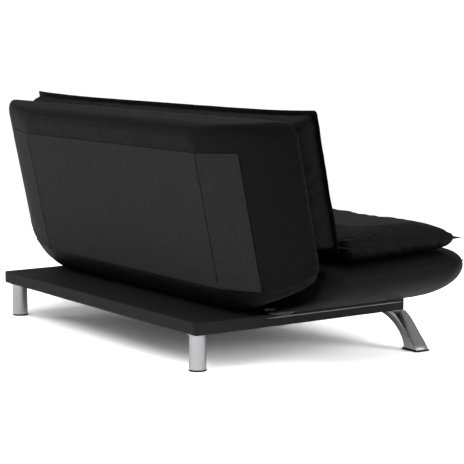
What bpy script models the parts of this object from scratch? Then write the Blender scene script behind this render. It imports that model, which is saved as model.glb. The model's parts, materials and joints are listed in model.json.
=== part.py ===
"""Click-clack futon sofa bed, built from the separate pieces of the real thing.

Frame: +X along the sofa towards the seated person's left, -Y towards the front edge of the seat,
+Z up. The origin is on the floor under the middle of the overall box. Sizes are in metres.

The back section is modelled in its own upright frame, whose origin is the hinge axis and whose +Z runs
up along the backrest. The empty "back_pivot" carries that frame and leans it back by BACK_TILT.
"""
import math

import bmesh
import bpy
from mathutils import Matrix, Vector

# Overall size
WIDTH = 1.84
DEPTH = 0.93
Y_REAR = DEPTH / 2

GAP = 0.0003            # clearance between pieces that touch
SKIN = 0.0018           # upholstery leatherette
SIDES = {"left": 1, "right": -1}

# Platform base
BASE_LENGTH = 1.30
BASE_DEPTH = 0.845
BASE_BOTTOM = 0.120
BASE_TOP = 0.162
BASE_SKIN = 0.0012
BASE_CORNER = 0.010
BASE_RAIL = 0.045       # width of a base rail in plan
DECK_THICKNESS = 0.008
CROSS_RAIL_X = 0.217

# Legs
REAR_LEG_X = 0.600
REAR_LEG_INSET = 0.039  # leg centre from the rear edge of the base
REAR_LEG_RADIUS = 0.0275
LEG_WALL = 0.002
LEG_FLANGE_RADIUS = 0.034
PLATE = 0.003           # steel plate thickness of the leg flanges
GLIDE_HEIGHT = 0.005
BOLT_RADIUS = 0.003
FRONT_LEG_INSET = 0.8175
FRONT_LEG_WIDTH = 0.055

# Seat section
SEAT_BOTTOM = 0.1625
SEAT_WIDEST = 0.285
SEAT_TOP = 0.328        # at the rear edge of the seat pad
SEAT_RISE = 0.040       # rise of the seat's top towards the front, per metre
SEAT_FOOT_X = 0.640     # half length of the seat's underside, flush with the base
SEAT_FOOT_FRONT = 0.840
SEAT_HALF = WIDTH / 2
SEAT_TOP_ROUND = 0.065
SEAT_CORNER = 0.13
SEAT_REAR_INSET = 0.268
TIMBER = 0.025
RISER_X = 0.5875
RISER_TOP = 0.2447
FRAME_TOP = 0.285
FRAME_HALF = 0.840
FRONT_RAIL_INSET = 0.8825
REAR_RAIL_INSET = 0.3655
SEAT_SPRINGS = (-0.60, -0.20, 0.20, 0.60)
SPRING_LEVEL = 0.2885
SPRING_WIRE = 0.002

# Hinge axis, as a distance in from the rear edge of the base and a height
PIVOT_INSET = 0.2444
PIVOT_Y = Y_REAR - PIVOT_INSET
PIVOT_Z = 0.260
BACK_TILT = math.radians(11.81)

# Back section, in the frame of the back
BACK_REAR = 0.0965      # hinge axis to the rear face
BACK_FRONT = 0.053      # hinge axis to the front of the upholstered section
BACK_HEIGHT = 0.535
BACK_CORNER = 0.050
BACK_SWEEP_FROM = 0.56  # beyond this the bottom of the back rises towards its ends
BACK_SWEEP_RISE = 0.13
LINING_HALF = 0.735
LINING_SEAM = 0.5573
LINING_TOP = 0.447
LINING_BOTTOM = 0.004
BACK_STILE_X = 0.5921
BACK_FRAME_REAR = 0.0830
BACK_FRAME_FRONT = 0.0330
BACK_RAIL_LOW = 0.055
BACK_RAIL_HIGH = 0.445
BACK_RAIL = 0.040
WING_X = 0.730           # end stile of the light frame outside the hinges
WING_THICKNESS = 0.016
WING_RAIL = 0.225
BACK_SPRINGS = (-0.42, -0.15, 0.15, 0.42)
SEAT_CLEARANCE = 0.0065  # radial gap between the seat's rear wall and the back's round bottom
WELL_MIDDLE = 0.60       # half length of the full-size well in the seat that the back turns in
WELL_END = 0.74          # from here outwards the well is as small as the swept-up back allows
WELL_END_RADIUS = 0.072

# Pads
PAD_HALF = 0.885
PAD_CORNER = 0.020
PAD_FLANGE = 0.012
PAD_FLANGE_THICKNESS = 0.003
SEAT_PAD_REAR = 0.405
SEAT_PAD_FRONT = 0.882
SEAT_PAD_BOTTOM = 0.3290
SEAT_PAD_THICKNESS = 0.104
SEAT_PAD_SEAM = 0.55    # height of the flange, as a share of the thickness
BACK_PAD_LOW = 0.085
BACK_PAD_HIGH = 0.538
BACK_PAD_THICKNESS = 0.130
BACK_PAD_SEAM = 0.74
ZIP_HALF = 0.40
ZIP_TAPE_HALF = 0.004

# Click-clack hinge, one layer of plate beside the other
HINGE_PLATE = 0.004
SEAT_PLATE_X = 0.6023   # middle of the plate fixed to the seat
RATCHET_X = 0.6069      # middle of the ratchet arm and the pawl
RATCHET_RADIUS = 0.034
NOTCH_DEPTH = 0.004
NOTCH_ANGLES = (-5.0, 0.0, 38.0, 78.19)
PIVOT_RADIUS = 0.006
PAWL_AHEAD = 0.046      # pawl pin ahead of and below the hinge axis
PAWL_BELOW = 0.036
PAWL_TIP = 0.0352
SLOT_IN = 0.592         # the slot in the upholstery that the hinge runs in
SLOT_OUT = 0.618


# ---------------------------------------------------------------- scene and helpers

def clear_scene():
    for old in list(bpy.data.objects):
        bpy.data.objects.remove(old, do_unlink=True)


def new_collection(name):
    collection = bpy.data.collections.new(name)
    bpy.context.scene.collection.children.link(collection)
    return collection


def material(name, colour, roughness, metallic=0.0):
    made = bpy.data.materials.new(name)
    made.use_nodes = True
    shader = made.node_tree.nodes["Principled BSDF"]
    shader.inputs["Base Color"].default_value = (*colour, 1.0)
    shader.inputs["Roughness"].default_value = roughness
    shader.inputs["Metallic"].default_value = metallic
    made.diffuse_color = (*colour, 1.0)
    return made


def behind(inset):
    """World y of a point that lies this far in from the rear edge of the base."""
    return Y_REAR - inset


def add_object(name, mesh, look, parent=None, collection=None):
    made = bpy.data.objects.new(name, mesh)
    (collection or PARTS).objects.link(made)
    made.parent = parent
    if look is not None:
        mesh.materials.append(look)
    return made


def finish_bmesh(bm, name, look, parent=None, collection=None, smooth=False):
    bmesh.ops.recalc_face_normals(bm, faces=bm.faces)
    mesh = bpy.data.meshes.new(name)
    bm.to_mesh(mesh)
    bm.free()
    if smooth:
        mesh.shade_smooth()
        mesh.set_sharp_from_angle(angle=math.radians(35))
    return add_object(name, mesh, look, parent, collection)


def block(bm, x, y, z):
    """A box between two x, two y and two z values."""
    size = [high - low for low, high in (x, y, z)]
    middle = [(high + low) / 2 for low, high in (x, y, z)]
    place = Matrix.Translation(middle) @ Matrix.Diagonal((*size, 1.0))
    bmesh.ops.create_cube(bm, size=1.0, matrix=place)


def rod(bm, start, end, radius, segments=12):
    """A solid cylinder from start to end."""
    start = Vector(start)
    along = Vector(end) - start
    turn = along.to_track_quat("Z", "Y").to_matrix().to_4x4()
    place = Matrix.Translation(start + along / 2) @ turn
    bmesh.ops.create_cone(bm, cap_ends=True, segments=segments, radius1=radius, radius2=radius,
                          depth=along.length, matrix=place)


def boxes(name, spans, look, parent=None, collection=None):
    bm = bmesh.new()
    for x, y, z in spans:
        block(bm, x, y, z)
    return finish_bmesh(bm, name, look, parent, collection)


def rods(name, runs, parent=None):
    """Cylinders that only cut holes."""
    bm = bmesh.new()
    for start, end, radius in runs:
        rod(bm, start, end, radius)
    return hide(finish_bmesh(bm, name, None, parent, CUTTERS))


def hide(guide):
    guide.hide_render = True
    guide.display_type = "WIRE"
    return guide


def boolean(target, cutter, operation="DIFFERENCE"):
    step = target.modifiers.new(operation.title(), "BOOLEAN")
    step.object = cutter
    step.operation = operation
    step.solver = "EXACT"
    return target


def rounded_rectangle(x, y, radius, steps=5):
    """Points round a rectangle with round corners, the same number for every size."""
    points = []
    corners = ((x[1], y[1], 0), (x[0], y[1], 1), (x[0], y[0], 2), (x[1], y[0], 3))
    for cx, cy, quarter in corners:
        start = quarter * math.pi / 2
        centre_x = cx - math.copysign(radius, cx - sum(x) / 2)
        centre_y = cy - math.copysign(radius, cy - sum(y) / 2)
        for step in range(steps + 1):
            angle = start + step / steps * math.pi / 2
            points.append((centre_x + radius * math.cos(angle), centre_y + radius * math.sin(angle)))
    return points


def loft(name, rings, look, parent=None, collection=None):
    """A closed solid through rings of points, capped at both ends.

    Each wall panel is split along one diagonal, mirrored about x = 0, so that two hulls drawn in by
    different amounts keep the same distance all over.
    """
    bm = bmesh.new()
    rows = [[bm.verts.new(point) for point in ring] for ring in rings]
    for low, high in zip(rows, rows[1:]):
        for index in range(len(low)):
            after = (index + 1) % len(low)
            panel = [low[index], low[after], high[after], high[index]]
            if low[index].co.x + low[after].co.x > 0.0:
                panel = panel[1:] + panel[:1]
            bm.faces.new((panel[0], panel[1], panel[2]))
            bm.faces.new((panel[0], panel[2], panel[3]))
    bm.faces.new(reversed(rows[0]))
    bm.faces.new(rows[-1])
    return finish_bmesh(bm, name, look, parent, collection, smooth=True)


def outline_solid(name, points, thickness, look, parent=None, collection=None):
    """A flat outline in the YZ plane, as thick as asked along X, centred on x = 0."""
    curve = bpy.data.curves.new(name, "CURVE")
    curve.dimensions = "2D"
    curve.fill_mode = "BOTH"
    curve.extrude = thickness / 2
    spline = curve.splines.new("POLY")
    spline.points.add(len(points) - 1)
    for point, (y, z) in zip(spline.points, points):
        point.co = (y, z, 0.0, 1.0)
    spline.use_cyclic_u = True
    drawn = bpy.data.objects.new(name + "_outline", curve)
    CUTTERS.objects.link(drawn)
    upright = Matrix(((0, 0, 1, 0), (1, 0, 0, 0), (0, 1, 0, 0), (0, 0, 0, 1)))
    bpy.context.view_layer.update()
    evaluated = drawn.evaluated_get(bpy.context.evaluated_depsgraph_get())
    bm = bmesh.new()
    flat = bpy.data.meshes.new_from_object(evaluated)
    bm.from_mesh(flat)
    bpy.data.meshes.remove(flat)
    bpy.data.objects.remove(drawn, do_unlink=True)
    bmesh.ops.remove_doubles(bm, verts=bm.verts, dist=0.00002)
    bm.transform(upright)
    return finish_bmesh(bm, name, look, parent, collection)


def wire_mesh(name, points, radius, sides):
    """A round wire through the points, as a closed mesh."""
    curve = bpy.data.curves.new(name, "CURVE")
    curve.dimensions = "3D"
    curve.bevel_depth = radius
    curve.bevel_resolution = sides
    curve.use_fill_caps = True
    spline = curve.splines.new("POLY")
    spline.points.add(len(points) - 1)
    for point, place in zip(spline.points, points):
        point.co = (*place, 1.0)
    drawn = bpy.data.objects.new(name + "_path", curve)
    CUTTERS.objects.link(drawn)
    bpy.context.view_layer.update()
    evaluated = drawn.evaluated_get(bpy.context.evaluated_depsgraph_get())
    mesh = bpy.data.meshes.new_from_object(evaluated)
    bpy.data.objects.remove(drawn, do_unlink=True)
    return mesh


def wires(name, paths, radius, look, parent=None, sides=1):
    bm = bmesh.new()
    for path in paths:
        mesh = wire_mesh(name, path, radius, sides)
        bm.from_mesh(mesh)
        bpy.data.meshes.remove(mesh)
    bmesh.ops.remove_doubles(bm, verts=bm.verts, dist=0.00002)
    return finish_bmesh(bm, name, look, parent, smooth=True)


def turned(name, profile, look, x, y, segments=20):
    """A solid of revolution about a vertical axis, its profile running from top to bottom."""
    bm = bmesh.new()
    verts = [bm.verts.new((radius, 0.0, z)) for radius, z in profile]
    for first, second in zip(verts, verts[1:]):
        bm.edges.new((first, second))
    mesh = bpy.data.meshes.new(name)
    bm.to_mesh(mesh)
    bm.free()
    made = add_object(name, mesh, look)
    made.location = (x, y, 0.0)
    screw = made.modifiers.new("Screw", "SCREW")
    screw.steps = segments
    screw.render_steps = segments
    screw.use_merge_vertices = True
    screw.merge_threshold = 0.0001
    return made


# ---------------------------------------------------------------- platform base

def base_footprint(inset, bottom, top, name):
    """The base's outline in plan, set in by inset, as a solid from bottom to top."""
    x = BASE_LENGTH / 2 - inset
    y = (behind(BASE_DEPTH) + inset, Y_REAR - inset)
    ring = rounded_rectangle((-x, x), y, max(BASE_CORNER - inset, 0.003))
    return loft(name, [[(px, py, z) for px, py in ring] for z in (bottom, top)], None, None, CUTTERS)


def build_base():
    inner = BASE_SKIN + GAP
    low = BASE_BOTTOM + inner
    deck_top = BASE_TOP - inner
    high = deck_top - DECK_THICKNESS - GAP
    front = behind(BASE_DEPTH)
    core = hide(base_footprint(inner, low - 0.05, deck_top + 0.05, "base_core"))
    bolt_bores = seat_bolt_holes()
    everywhere = ((-BASE_LENGTH / 2, BASE_LENGTH / 2), (front, Y_REAR))
    frame = boxes("base_frame", [(*everywhere, (low, high))], PINE)
    boolean(frame, core, "INTERSECT")
    edge = BASE_LENGTH / 2 - BASE_RAIL
    ties = (-edge, -CROSS_RAIL_X, CROSS_RAIL_X, edge)
    windows = []
    for index, (left, right) in enumerate(zip(ties, ties[1:])):
        left += TIMBER / 2 if index > 0 else 0.0
        right -= TIMBER / 2 if index < 2 else 0.0
        windows.append(((left, right), (front + BASE_RAIL, Y_REAR - BASE_RAIL), (low - 0.01, high + 0.01)))
    boolean(frame, hide(boxes("base_windows", windows, None, None, CUTTERS)))
    deck = boxes("base_deck", [(*everywhere, (high + GAP, deck_top))], PLYWOOD)
    boolean(deck, core, "INTERSECT")
    boolean(deck, bolt_bores)
    build_base_cover(bolt_bores)


def build_base_cover(bolt_bores):
    """The wrap of the base and the dust cloth that closes it below, apart from one short slit."""
    hollow = hide(base_footprint(BASE_SKIN, BASE_BOTTOM + BASE_SKIN, BASE_TOP - BASE_SKIN, "base_hollow"))
    slit_y = behind(BASE_DEPTH - BASE_RAIL - 0.02)
    slit = boxes("base_slit", [((-0.15, 0.15), (slit_y - 0.001, slit_y + 0.001),
                                (BASE_BOTTOM - 0.01, BASE_BOTTOM + 0.01))], None, None, CUTTERS)
    cover = base_footprint(0.0, BASE_BOTTOM, BASE_TOP, "base_cover")
    CUTTERS.objects.unlink(cover)
    PARTS.objects.link(cover)
    cover.data.materials.append(BASE_CLOTH)
    boolean(cover, hollow)
    boolean(cover, hide(slit))
    boolean(cover, bolt_bores)


def seat_bolt_places():
    return [(sign * RISER_X, behind(inset)) for sign in SIDES.values() for inset in (0.44, 0.74)]


def seat_bolt_holes():
    runs = [((x, y, BASE_TOP - 0.03), (x, y, SEAT_BOTTOM + 0.031), BOLT_RADIUS + GAP)
            for x, y in seat_bolt_places()]
    return rods("seat_bolt_holes", runs)


# ---------------------------------------------------------------- legs and bolts

def bolt(name, head, shank, place, turn, parent=None):
    """A bolt that points down its own -Z: head and shank are (radius, length) pairs."""
    head_radius, head_length = head
    radius, length = shank
    profile = [(0.0, head_length), (head_radius, head_length), (head_radius, 0.0), (radius, 0.0),
               (radius, -length), (0.0, -length)]
    made = turned(name, profile, STEEL, 0.0, 0.0, 12)
    made.location = place
    made.rotation_euler = turn
    made.parent = parent
    return made


def build_rear_leg(side, sign):
    plate_top = BASE_BOTTOM - GAP
    x = sign * REAR_LEG_X
    y = behind(REAR_LEG_INSET)
    foot = GLIDE_HEIGHT + GAP
    turned("rear_leg_" + side, [
        (0.0, plate_top), (LEG_FLANGE_RADIUS, plate_top), (LEG_FLANGE_RADIUS, plate_top - PLATE),
        (REAR_LEG_RADIUS, plate_top - PLATE), (REAR_LEG_RADIUS, foot),
        (REAR_LEG_RADIUS - LEG_WALL, foot), (REAR_LEG_RADIUS - LEG_WALL, plate_top - PLATE),
        (0.0, plate_top - PLATE)], CHROME, x, y, 24)
    turned("rear_glide_" + side, [
        (0.0, GLIDE_HEIGHT), (REAR_LEG_RADIUS + 0.0015, GLIDE_HEIGHT), (REAR_LEG_RADIUS + 0.0015, 0.001),
        (REAR_LEG_RADIUS, 0.0), (0.0, 0.0)], BLACK_PLASTIC, x, y, 24)


def front_leg_outline(top):
    """The curved leg seen from the front: x outwards from the end of the base, and z."""
    foot = GLIDE_HEIGHT + GAP
    outer = [(0.004, top), (0.026, 0.1045), (0.051, 0.0815), (0.075, 0.0565), (0.095, 0.0360),
             (0.112, 0.0185), (0.121, foot)]
    inner = [(0.058, foot), (0.056, 0.0200), (0.0455, 0.0407), (0.031, 0.0580), (0.012, 0.0750),
             (-0.012, 0.0900), (-0.045, 0.1040), (-0.092, top - 0.004), (-0.092, top)]
    return outer + inner


def build_front_leg(side, sign):
    plate_top = BASE_BOTTOM - GAP
    y = behind(FRONT_LEG_INSET)
    half = BASE_LENGTH / 2
    width = FRONT_LEG_WIDTH / 2
    shape = [(half + out, z) for out, z in front_leg_outline(plate_top - PLATE / 2)]
    leg = outline_solid("front_leg_" + side, shape, FRONT_LEG_WIDTH, CHROME)
    leg.data.transform(Matrix(((0, sign, 0, 0), (1, 0, 0, y), (0, 0, 1, 0), (0, 0, 0, 1))))
    if sign > 0:
        leg.data.flip_normals()
    plate = boxes("front_leg_plate_" + side, [(sorted((sign * (half - 0.115), sign * (half - 0.002))),
                                               (y - width, y + width), (plate_top - PLATE, plate_top))],
                  None, None, CUTTERS)
    boolean(leg, hide(plate), "UNION")
    reach = sorted((sign * (half + 0.0460), sign * (half + 0.1300)))
    boxes("front_glide_" + side, [(reach, (y - width - 0.002, y + width + 0.002), (0.0, GLIDE_HEIGHT))],
          BLACK_PLASTIC)


# ---------------------------------------------------------------- seat section

def seat_ring(inset, shrink_x, shrink_front, radius, z):
    """One level of the seat hull, drawn in at the ends and at the front, and rising to the front."""
    half = SEAT_HALF - shrink_x - inset
    y = (behind(DEPTH) + shrink_front + inset, behind(SEAT_REAR_INSET) - inset)
    ring = rounded_rectangle((-half, half), y, max(radius - inset, 0.004), 6)
    slope = SEAT_RISE * max(z - SEAT_BOTTOM, 0.0) / (SEAT_TOP - SEAT_BOTTOM)
    return [(px, py, z + slope * (behind(SEAT_PAD_REAR) - py)) for px, py in ring]


def seat_hull(name, inset, bottom, look=None, collection=None):
    """The seat's rounded hull: an elliptical belly below its widest line, a round edge above."""
    belly_x = SEAT_HALF - SEAT_FOOT_X
    belly_y = DEPTH - SEAT_FOOT_FRONT
    rings = []
    for step in range(6):
        angle = step / 5 * math.pi / 2
        drawn = 1.0 - math.sin(angle)
        z = SEAT_WIDEST - (SEAT_WIDEST - SEAT_BOTTOM) * math.cos(angle)
        radius = SEAT_CORNER - 0.10 * drawn
        rings.append(seat_ring(inset, belly_x * drawn, belly_y * drawn, radius, max(z, bottom)))
    if bottom < SEAT_BOTTOM:
        rings.insert(0, [(px, py, bottom) for px, py, _ in rings[0]])
        rings[1] = [(px, py, SEAT_BOTTOM) for px, py, _ in rings[1]]
    for step in range(1, 5):
        angle = step / 4 * math.pi / 2
        drawn = SEAT_TOP_ROUND * (1.0 - math.cos(angle))
        z = SEAT_WIDEST + (SEAT_TOP - SEAT_WIDEST - inset) * math.sin(angle)
        rings.append(seat_ring(inset, drawn, drawn, SEAT_CORNER - drawn * 0.5, z))
    hull = loft(name, rings, look, None, collection or CUTTERS)
    return boolean(hull, seat_rear_cutter(name + "_rear", inset))


def seat_rear_cutter(name, inset):
    """What the swinging back needs: a well about the hinge axis, smaller at the ends, and all above it."""
    middle = BACK_REAR + SEAT_CLEARANCE + inset
    end = WELL_END_RADIUS + inset
    stations = ((-1.0, end), (-WELL_END - inset, end), (-WELL_MIDDLE - inset, middle),
                (WELL_MIDDLE + inset, middle), (WELL_END + inset, end), (1.0, end))
    rings = []
    for x, radius in stations:
        ring = []
        for step in range(13):
            angle = -math.pi / 2 - step / 12 * math.pi / 2
            ring.append((x, PIVOT_Y + radius * math.cos(angle), PIVOT_Z + radius * math.sin(angle)))
        ring += [(x, PIVOT_Y - radius, SEAT_TOP + 0.1), (x, PIVOT_Y + 0.3, SEAT_TOP + 0.1),
                 (x, PIVOT_Y + 0.3, PIVOT_Z - radius)]
        rings.append(ring)
    return hide(loft(name, rings, None, None, CUTTERS))


def hinge_slot(name, y, z, parent=None):
    spans = [(sorted((sign * SLOT_IN, sign * SLOT_OUT)), y, z) for sign in SIDES.values()]
    return hide(boxes(name, spans, None, parent, CUTTERS))


def build_seat_frame():
    bolt_bores = bpy.data.objects["seat_bolt_holes"]
    plate_bores = hinge_bolt_holes()
    front = behind(FRONT_RAIL_INSET)
    rear = behind(REAR_RAIL_INSET)
    half_rail = TIMBER / 2
    for side, sign in SIDES.items():
        x = sorted((sign * (RISER_X - half_rail), sign * (RISER_X + half_rail)))
        riser = boxes("seat_riser_" + side, [(x, (behind(0.80), behind(0.36)),
                                              (SEAT_BOTTOM + GAP, RISER_TOP))], PINE)
        boolean(riser, bolt_bores)
        boolean(riser, plate_bores)
    level = (RISER_TOP + GAP, FRAME_TOP)
    cut = (RISER_TOP - 0.01, FRAME_TOP + 0.01)
    frame_y = (front - half_rail, rear + half_rail)
    frame = boxes("seat_frame", [((-FRAME_HALF, FRAME_HALF), frame_y, level)], PINE)
    open_y = (front + half_rail, rear - half_rail)
    windows = [(sorted((sign * half_rail, sign * (FRAME_HALF - TIMBER))), open_y, cut)
               for sign in SIDES.values()]
    boolean(frame, hide(boxes("seat_windows", windows, None, None, CUTTERS)))
    for number, x in enumerate(SEAT_SPRINGS, 1):
        wave = [(x + sway, y, SPRING_LEVEL) for sway, y in zigzag(front, rear, 0.06, 8)]
        wires("seat_spring_%d" % number, [wave], SPRING_WIRE, STEEL)
    for number, (x, y) in enumerate(seat_bolt_places(), 1):
        under_deck = BASE_TOP - BASE_SKIN - GAP - DECK_THICKNESS - GAP
        bolt("seat_bolt_%d" % number, (0.007, 0.004), (BOLT_RADIUS, 0.0400), (x, y, under_deck),
             (math.pi, 0.0, 0.0))


def zigzag(start, end, width, bends):
    """Sinuous spring: a wave of the given width about a line from start to end."""
    points = []
    for step in range(2 * bends + 1):
        share = step / (2 * bends)
        points.append((width / 2 * math.sin(share * bends * math.pi), start + (end - start) * share))
    return points


def build_seat_upholstery():
    cover = seat_hull("seat_cover", 0.0, SEAT_BOTTOM, LEATHERETTE, PARTS)
    boolean(cover, hide(seat_hull("seat_cover_inside", SKIN, SEAT_BOTTOM - 0.02)))
    slot = hinge_slot("seat_slot", (behind(0.358), behind(0.26)), (0.185, 0.300))
    boolean(cover, slot)
    foam = seat_hull("seat_foam", SKIN + GAP, SEAT_BOTTOM, FOAM, PARTS)
    pockets = boxes("seat_frame_pockets", [
        ((-0.623, 0.623), (behind(0.803), Y_REAR), (SEAT_BOTTOM - 0.02, RISER_TOP + 0.0002)),
    ], None, None, CUTTERS)
    boolean(foam, hide(pockets))
    upper = boxes("seat_frame_upper_pocket", [
        ((-FRAME_HALF - 0.002, FRAME_HALF + 0.002), (behind(FRONT_RAIL_INSET) - TIMBER / 2 - 0.002, Y_REAR),
         (RISER_TOP - 0.001, SPRING_LEVEL + SPRING_WIRE + 0.002)),
    ], None, None, CUTTERS)
    boolean(foam, hide(upper))


# ---------------------------------------------------------------- pads

def pillow(name, inset, flange, size, look=None, collection=None, parent=None):
    """A flat pillow lying in XY: soft edges drawn in above and below, a thin flange at its seam.

    Its underside rises from its +Y edge by the given slope, while its seam and its top stay level.
    """
    length, thickness, seam, rise = size
    half_x = PAD_HALF - PAD_FLANGE
    half_y = length / 2 - PAD_FLANGE
    lip = PAD_FLANGE_THICKNESS / 2
    bottom = inset
    middle = thickness * seam
    top = thickness - inset
    rows = [(drawn, bottom + share * (middle - bottom))
            for drawn, share in ((0.050, 0.0), (0.022, 0.18), (0.006, 0.55))]
    if flange:
        rows += [(0.0, middle - lip), (-PAD_FLANGE, middle - lip),
                 (-PAD_FLANGE, middle + lip), (0.0, middle + lip)]
    else:
        rows += [(0.0, middle)]
    rows += [(drawn, middle + share * (top - middle))
             for drawn, share in ((0.004, 0.33), (0.014, 0.64), (0.032, 0.89), (0.060, 1.0))]
    rings = []
    for drawn, z in rows:
        x = half_x - drawn - inset
        y = half_y - drawn - inset
        ring = rounded_rectangle((-x, x), (-y, y), PAD_CORNER + min(drawn, 0.0), 4)
        slope = rise * max(1.0 - z / middle, 0.0)
        rings.append([(px, py, z + slope * (length / 2 - py)) for px, py in ring])
    return loft(name, rings, look, parent, collection or CUTTERS)


def build_pad(label, size, place, parent, zip_side):
    """Cover, core and zip of one pad, each moved to its place by the same matrix."""
    length, thickness, _, _ = size
    cover = pillow(label + "_cover", 0.0, True, size, LEATHERETTE, PARTS, parent)
    inside = hide(pillow(label + "_inside", SKIN, False, size, None, CUTTERS, parent))
    core = pillow(label + "_core", SKIN + GAP, False, size, FOAM, PARTS, parent)
    closure = pillow(label + "_zip", 0.0, False, size, ZIP_TAPE, PARTS, parent)
    level = thickness * 0.34
    edge = sorted((zip_side * (length / 2 - 0.050), zip_side * (length / 2 + 0.01)))
    slit = (level - ZIP_TAPE_HALF, level + ZIP_TAPE_HALF)
    mouth = boxes(label + "_mouth", [((-ZIP_HALF, ZIP_HALF), edge, slit)], None, parent, CUTTERS)
    tape = ZIP_TAPE_HALF - GAP
    strip = boxes(label + "_strip", [((-ZIP_HALF + GAP, ZIP_HALF - GAP), edge, (level - tape, level + tape))],
                  None, parent, CUTTERS)
    boolean(closure, strip, "INTERSECT")
    boolean(closure, inside)
    boolean(cover, inside)
    boolean(cover, mouth)
    for piece in (cover, inside, core, closure, mouth, strip):
        piece.data.transform(place)
    hide(mouth)
    hide(strip)


def build_pads(back_pivot):
    length = SEAT_PAD_FRONT - SEAT_PAD_REAR
    middle = behind((SEAT_PAD_FRONT + SEAT_PAD_REAR) / 2)
    seat_place = Matrix.Translation((0.0, middle, SEAT_PAD_BOTTOM))
    build_pad("seat_pad", (length, SEAT_PAD_THICKNESS, SEAT_PAD_SEAM, SEAT_RISE), seat_place, None, 1)
    height = BACK_PAD_HIGH - BACK_PAD_LOW
    face = BACK_FRONT + 0.001
    stand = Matrix.Rotation(math.pi / 2, 4, "X")
    back_place = Matrix.Translation((0.0, -face, (BACK_PAD_HIGH + BACK_PAD_LOW) / 2)) @ stand
    build_pad("back_pad", (height, BACK_PAD_THICKNESS, BACK_PAD_SEAM, 0.0), back_place, back_pivot, -1)


# ---------------------------------------------------------------- back section

def back_levels():
    """Rings of the back hull from rear to front: depth, half length, top edge."""
    return [(-1.00 * BACK_REAR, 0.560, BACK_HEIGHT - 0.032), (-0.0900, 0.595, BACK_HEIGHT - 0.017),
            (-0.0780, 0.650, BACK_HEIGHT - 0.007), (-0.0550, 0.735, BACK_HEIGHT),
            (-0.0250, 0.820, BACK_HEIGHT), (0.0080, 0.885, BACK_HEIGHT), (0.0300, 0.915, BACK_HEIGHT - 0.002),
            (0.0420, WIDTH / 2, BACK_HEIGHT - 0.005), (BACK_FRONT, 0.908, BACK_HEIGHT - 0.016)]


def back_sweep(x):
    """How far the bottom of the back rises above the round bottom at this place along the sofa."""
    beyond = max(abs(x) - BACK_SWEEP_FROM, 0.0) / (WIDTH / 2 - BACK_SWEEP_FROM)
    return BACK_SWEEP_RISE * beyond ** 1.1


def back_ring(half, bottom, top, radius):
    """Outline of the back at one depth, with points along its bottom for the sweep to bend."""
    corner = 5
    ring = rounded_rectangle((-half, half), (bottom, top), radius, corner)
    along = [(side * share * (half - radius), bottom)
             for side, shares in ((-1, (0.93, 0.85, 0.76, 0.66)), (1, (0.66, 0.76, 0.85, 0.93)))
             for share in shares]
    low_from = 2 * (corner + 1)
    low = ring[low_from:low_from + corner + 1] + along + ring[low_from + corner + 1:]
    return ring[:low_from] + [(x, z + back_sweep(x)) for x, z in low]


def back_hull(name, inset, look=None, collection=None, parent=None):
    """The back's rounded hull, with a bottom that is part of a cylinder about the hinge axis."""
    round_bottom = BACK_REAR - inset
    rings = []
    for depth, half, top in back_levels():
        depth = max(-BACK_REAR + inset, min(depth, BACK_FRONT - inset))
        bottom = -math.sqrt(max(round_bottom ** 2 - depth ** 2, 0.0))
        ring = back_ring(half - inset, bottom, top - inset, BACK_CORNER - inset)
        rings.append([(px, -depth, pz) for px, pz in ring])
    return loft(name, rings, look, parent, collection or CUTTERS)


def build_back_upholstery(pivot):
    cover = back_hull("back_cover", 0.0, LEATHERETTE, PARTS, pivot)
    inside = hide(back_hull("back_cover_inside", SKIN, None, None, pivot))
    rear = (0.0, BACK_REAR + 0.01)
    window = boxes("back_window", [((-LINING_HALF, LINING_HALF), rear, (LINING_BOTTOM, LINING_TOP))],
                   None, pivot, CUTTERS)
    slots = (hinge_slot("back_slot", (-0.07, 0.037), (-0.12, BACK_RAIL_LOW - 0.003), pivot),
             hinge_slot("back_low_slot", (-0.08, 0.074), (-0.13, 0.003), pivot))
    for slot in slots:
        boolean(cover, slot)
    boolean(cover, inside)
    boolean(cover, hide(window))
    low = LINING_BOTTOM + GAP
    high = LINING_TOP - GAP
    panels = {"back_lining": (-LINING_SEAM, LINING_SEAM)}
    for side, sign in SIDES.items():
        panels["back_lining_side_" + side] = sorted((sign * (LINING_SEAM + GAP), sign * (LINING_HALF - GAP)))
    for name, x in panels.items():
        panel = back_hull(name, 0.0, LINING, PARTS, pivot)
        boolean(panel, hide(boxes(name + "_cut", [(x, (0.02, BACK_REAR + 0.01), (low, high))],
                                  None, pivot, CUTTERS)), "INTERSECT")
        boolean(panel, inside)
    foam = back_hull("back_foam", SKIN + GAP, FOAM, PARTS, pivot)
    pocket = boxes("back_frame_pocket", [((-WING_X - 0.018, WING_X + 0.018),
                                          (BACK_FRAME_FRONT - 0.008, BACK_REAR + 0.01),
                                          (BACK_RAIL_LOW - 0.004, BACK_RAIL_HIGH + BACK_RAIL + 0.002))],
                   None, pivot, CUTTERS)
    boolean(foam, hide(pocket))
    for slot in slots:
        boolean(foam, slot)
    boolean(foam, hinge_slot("back_arm_slot", (-0.030, 0.048), (-0.040, 0.095), pivot))


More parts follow.
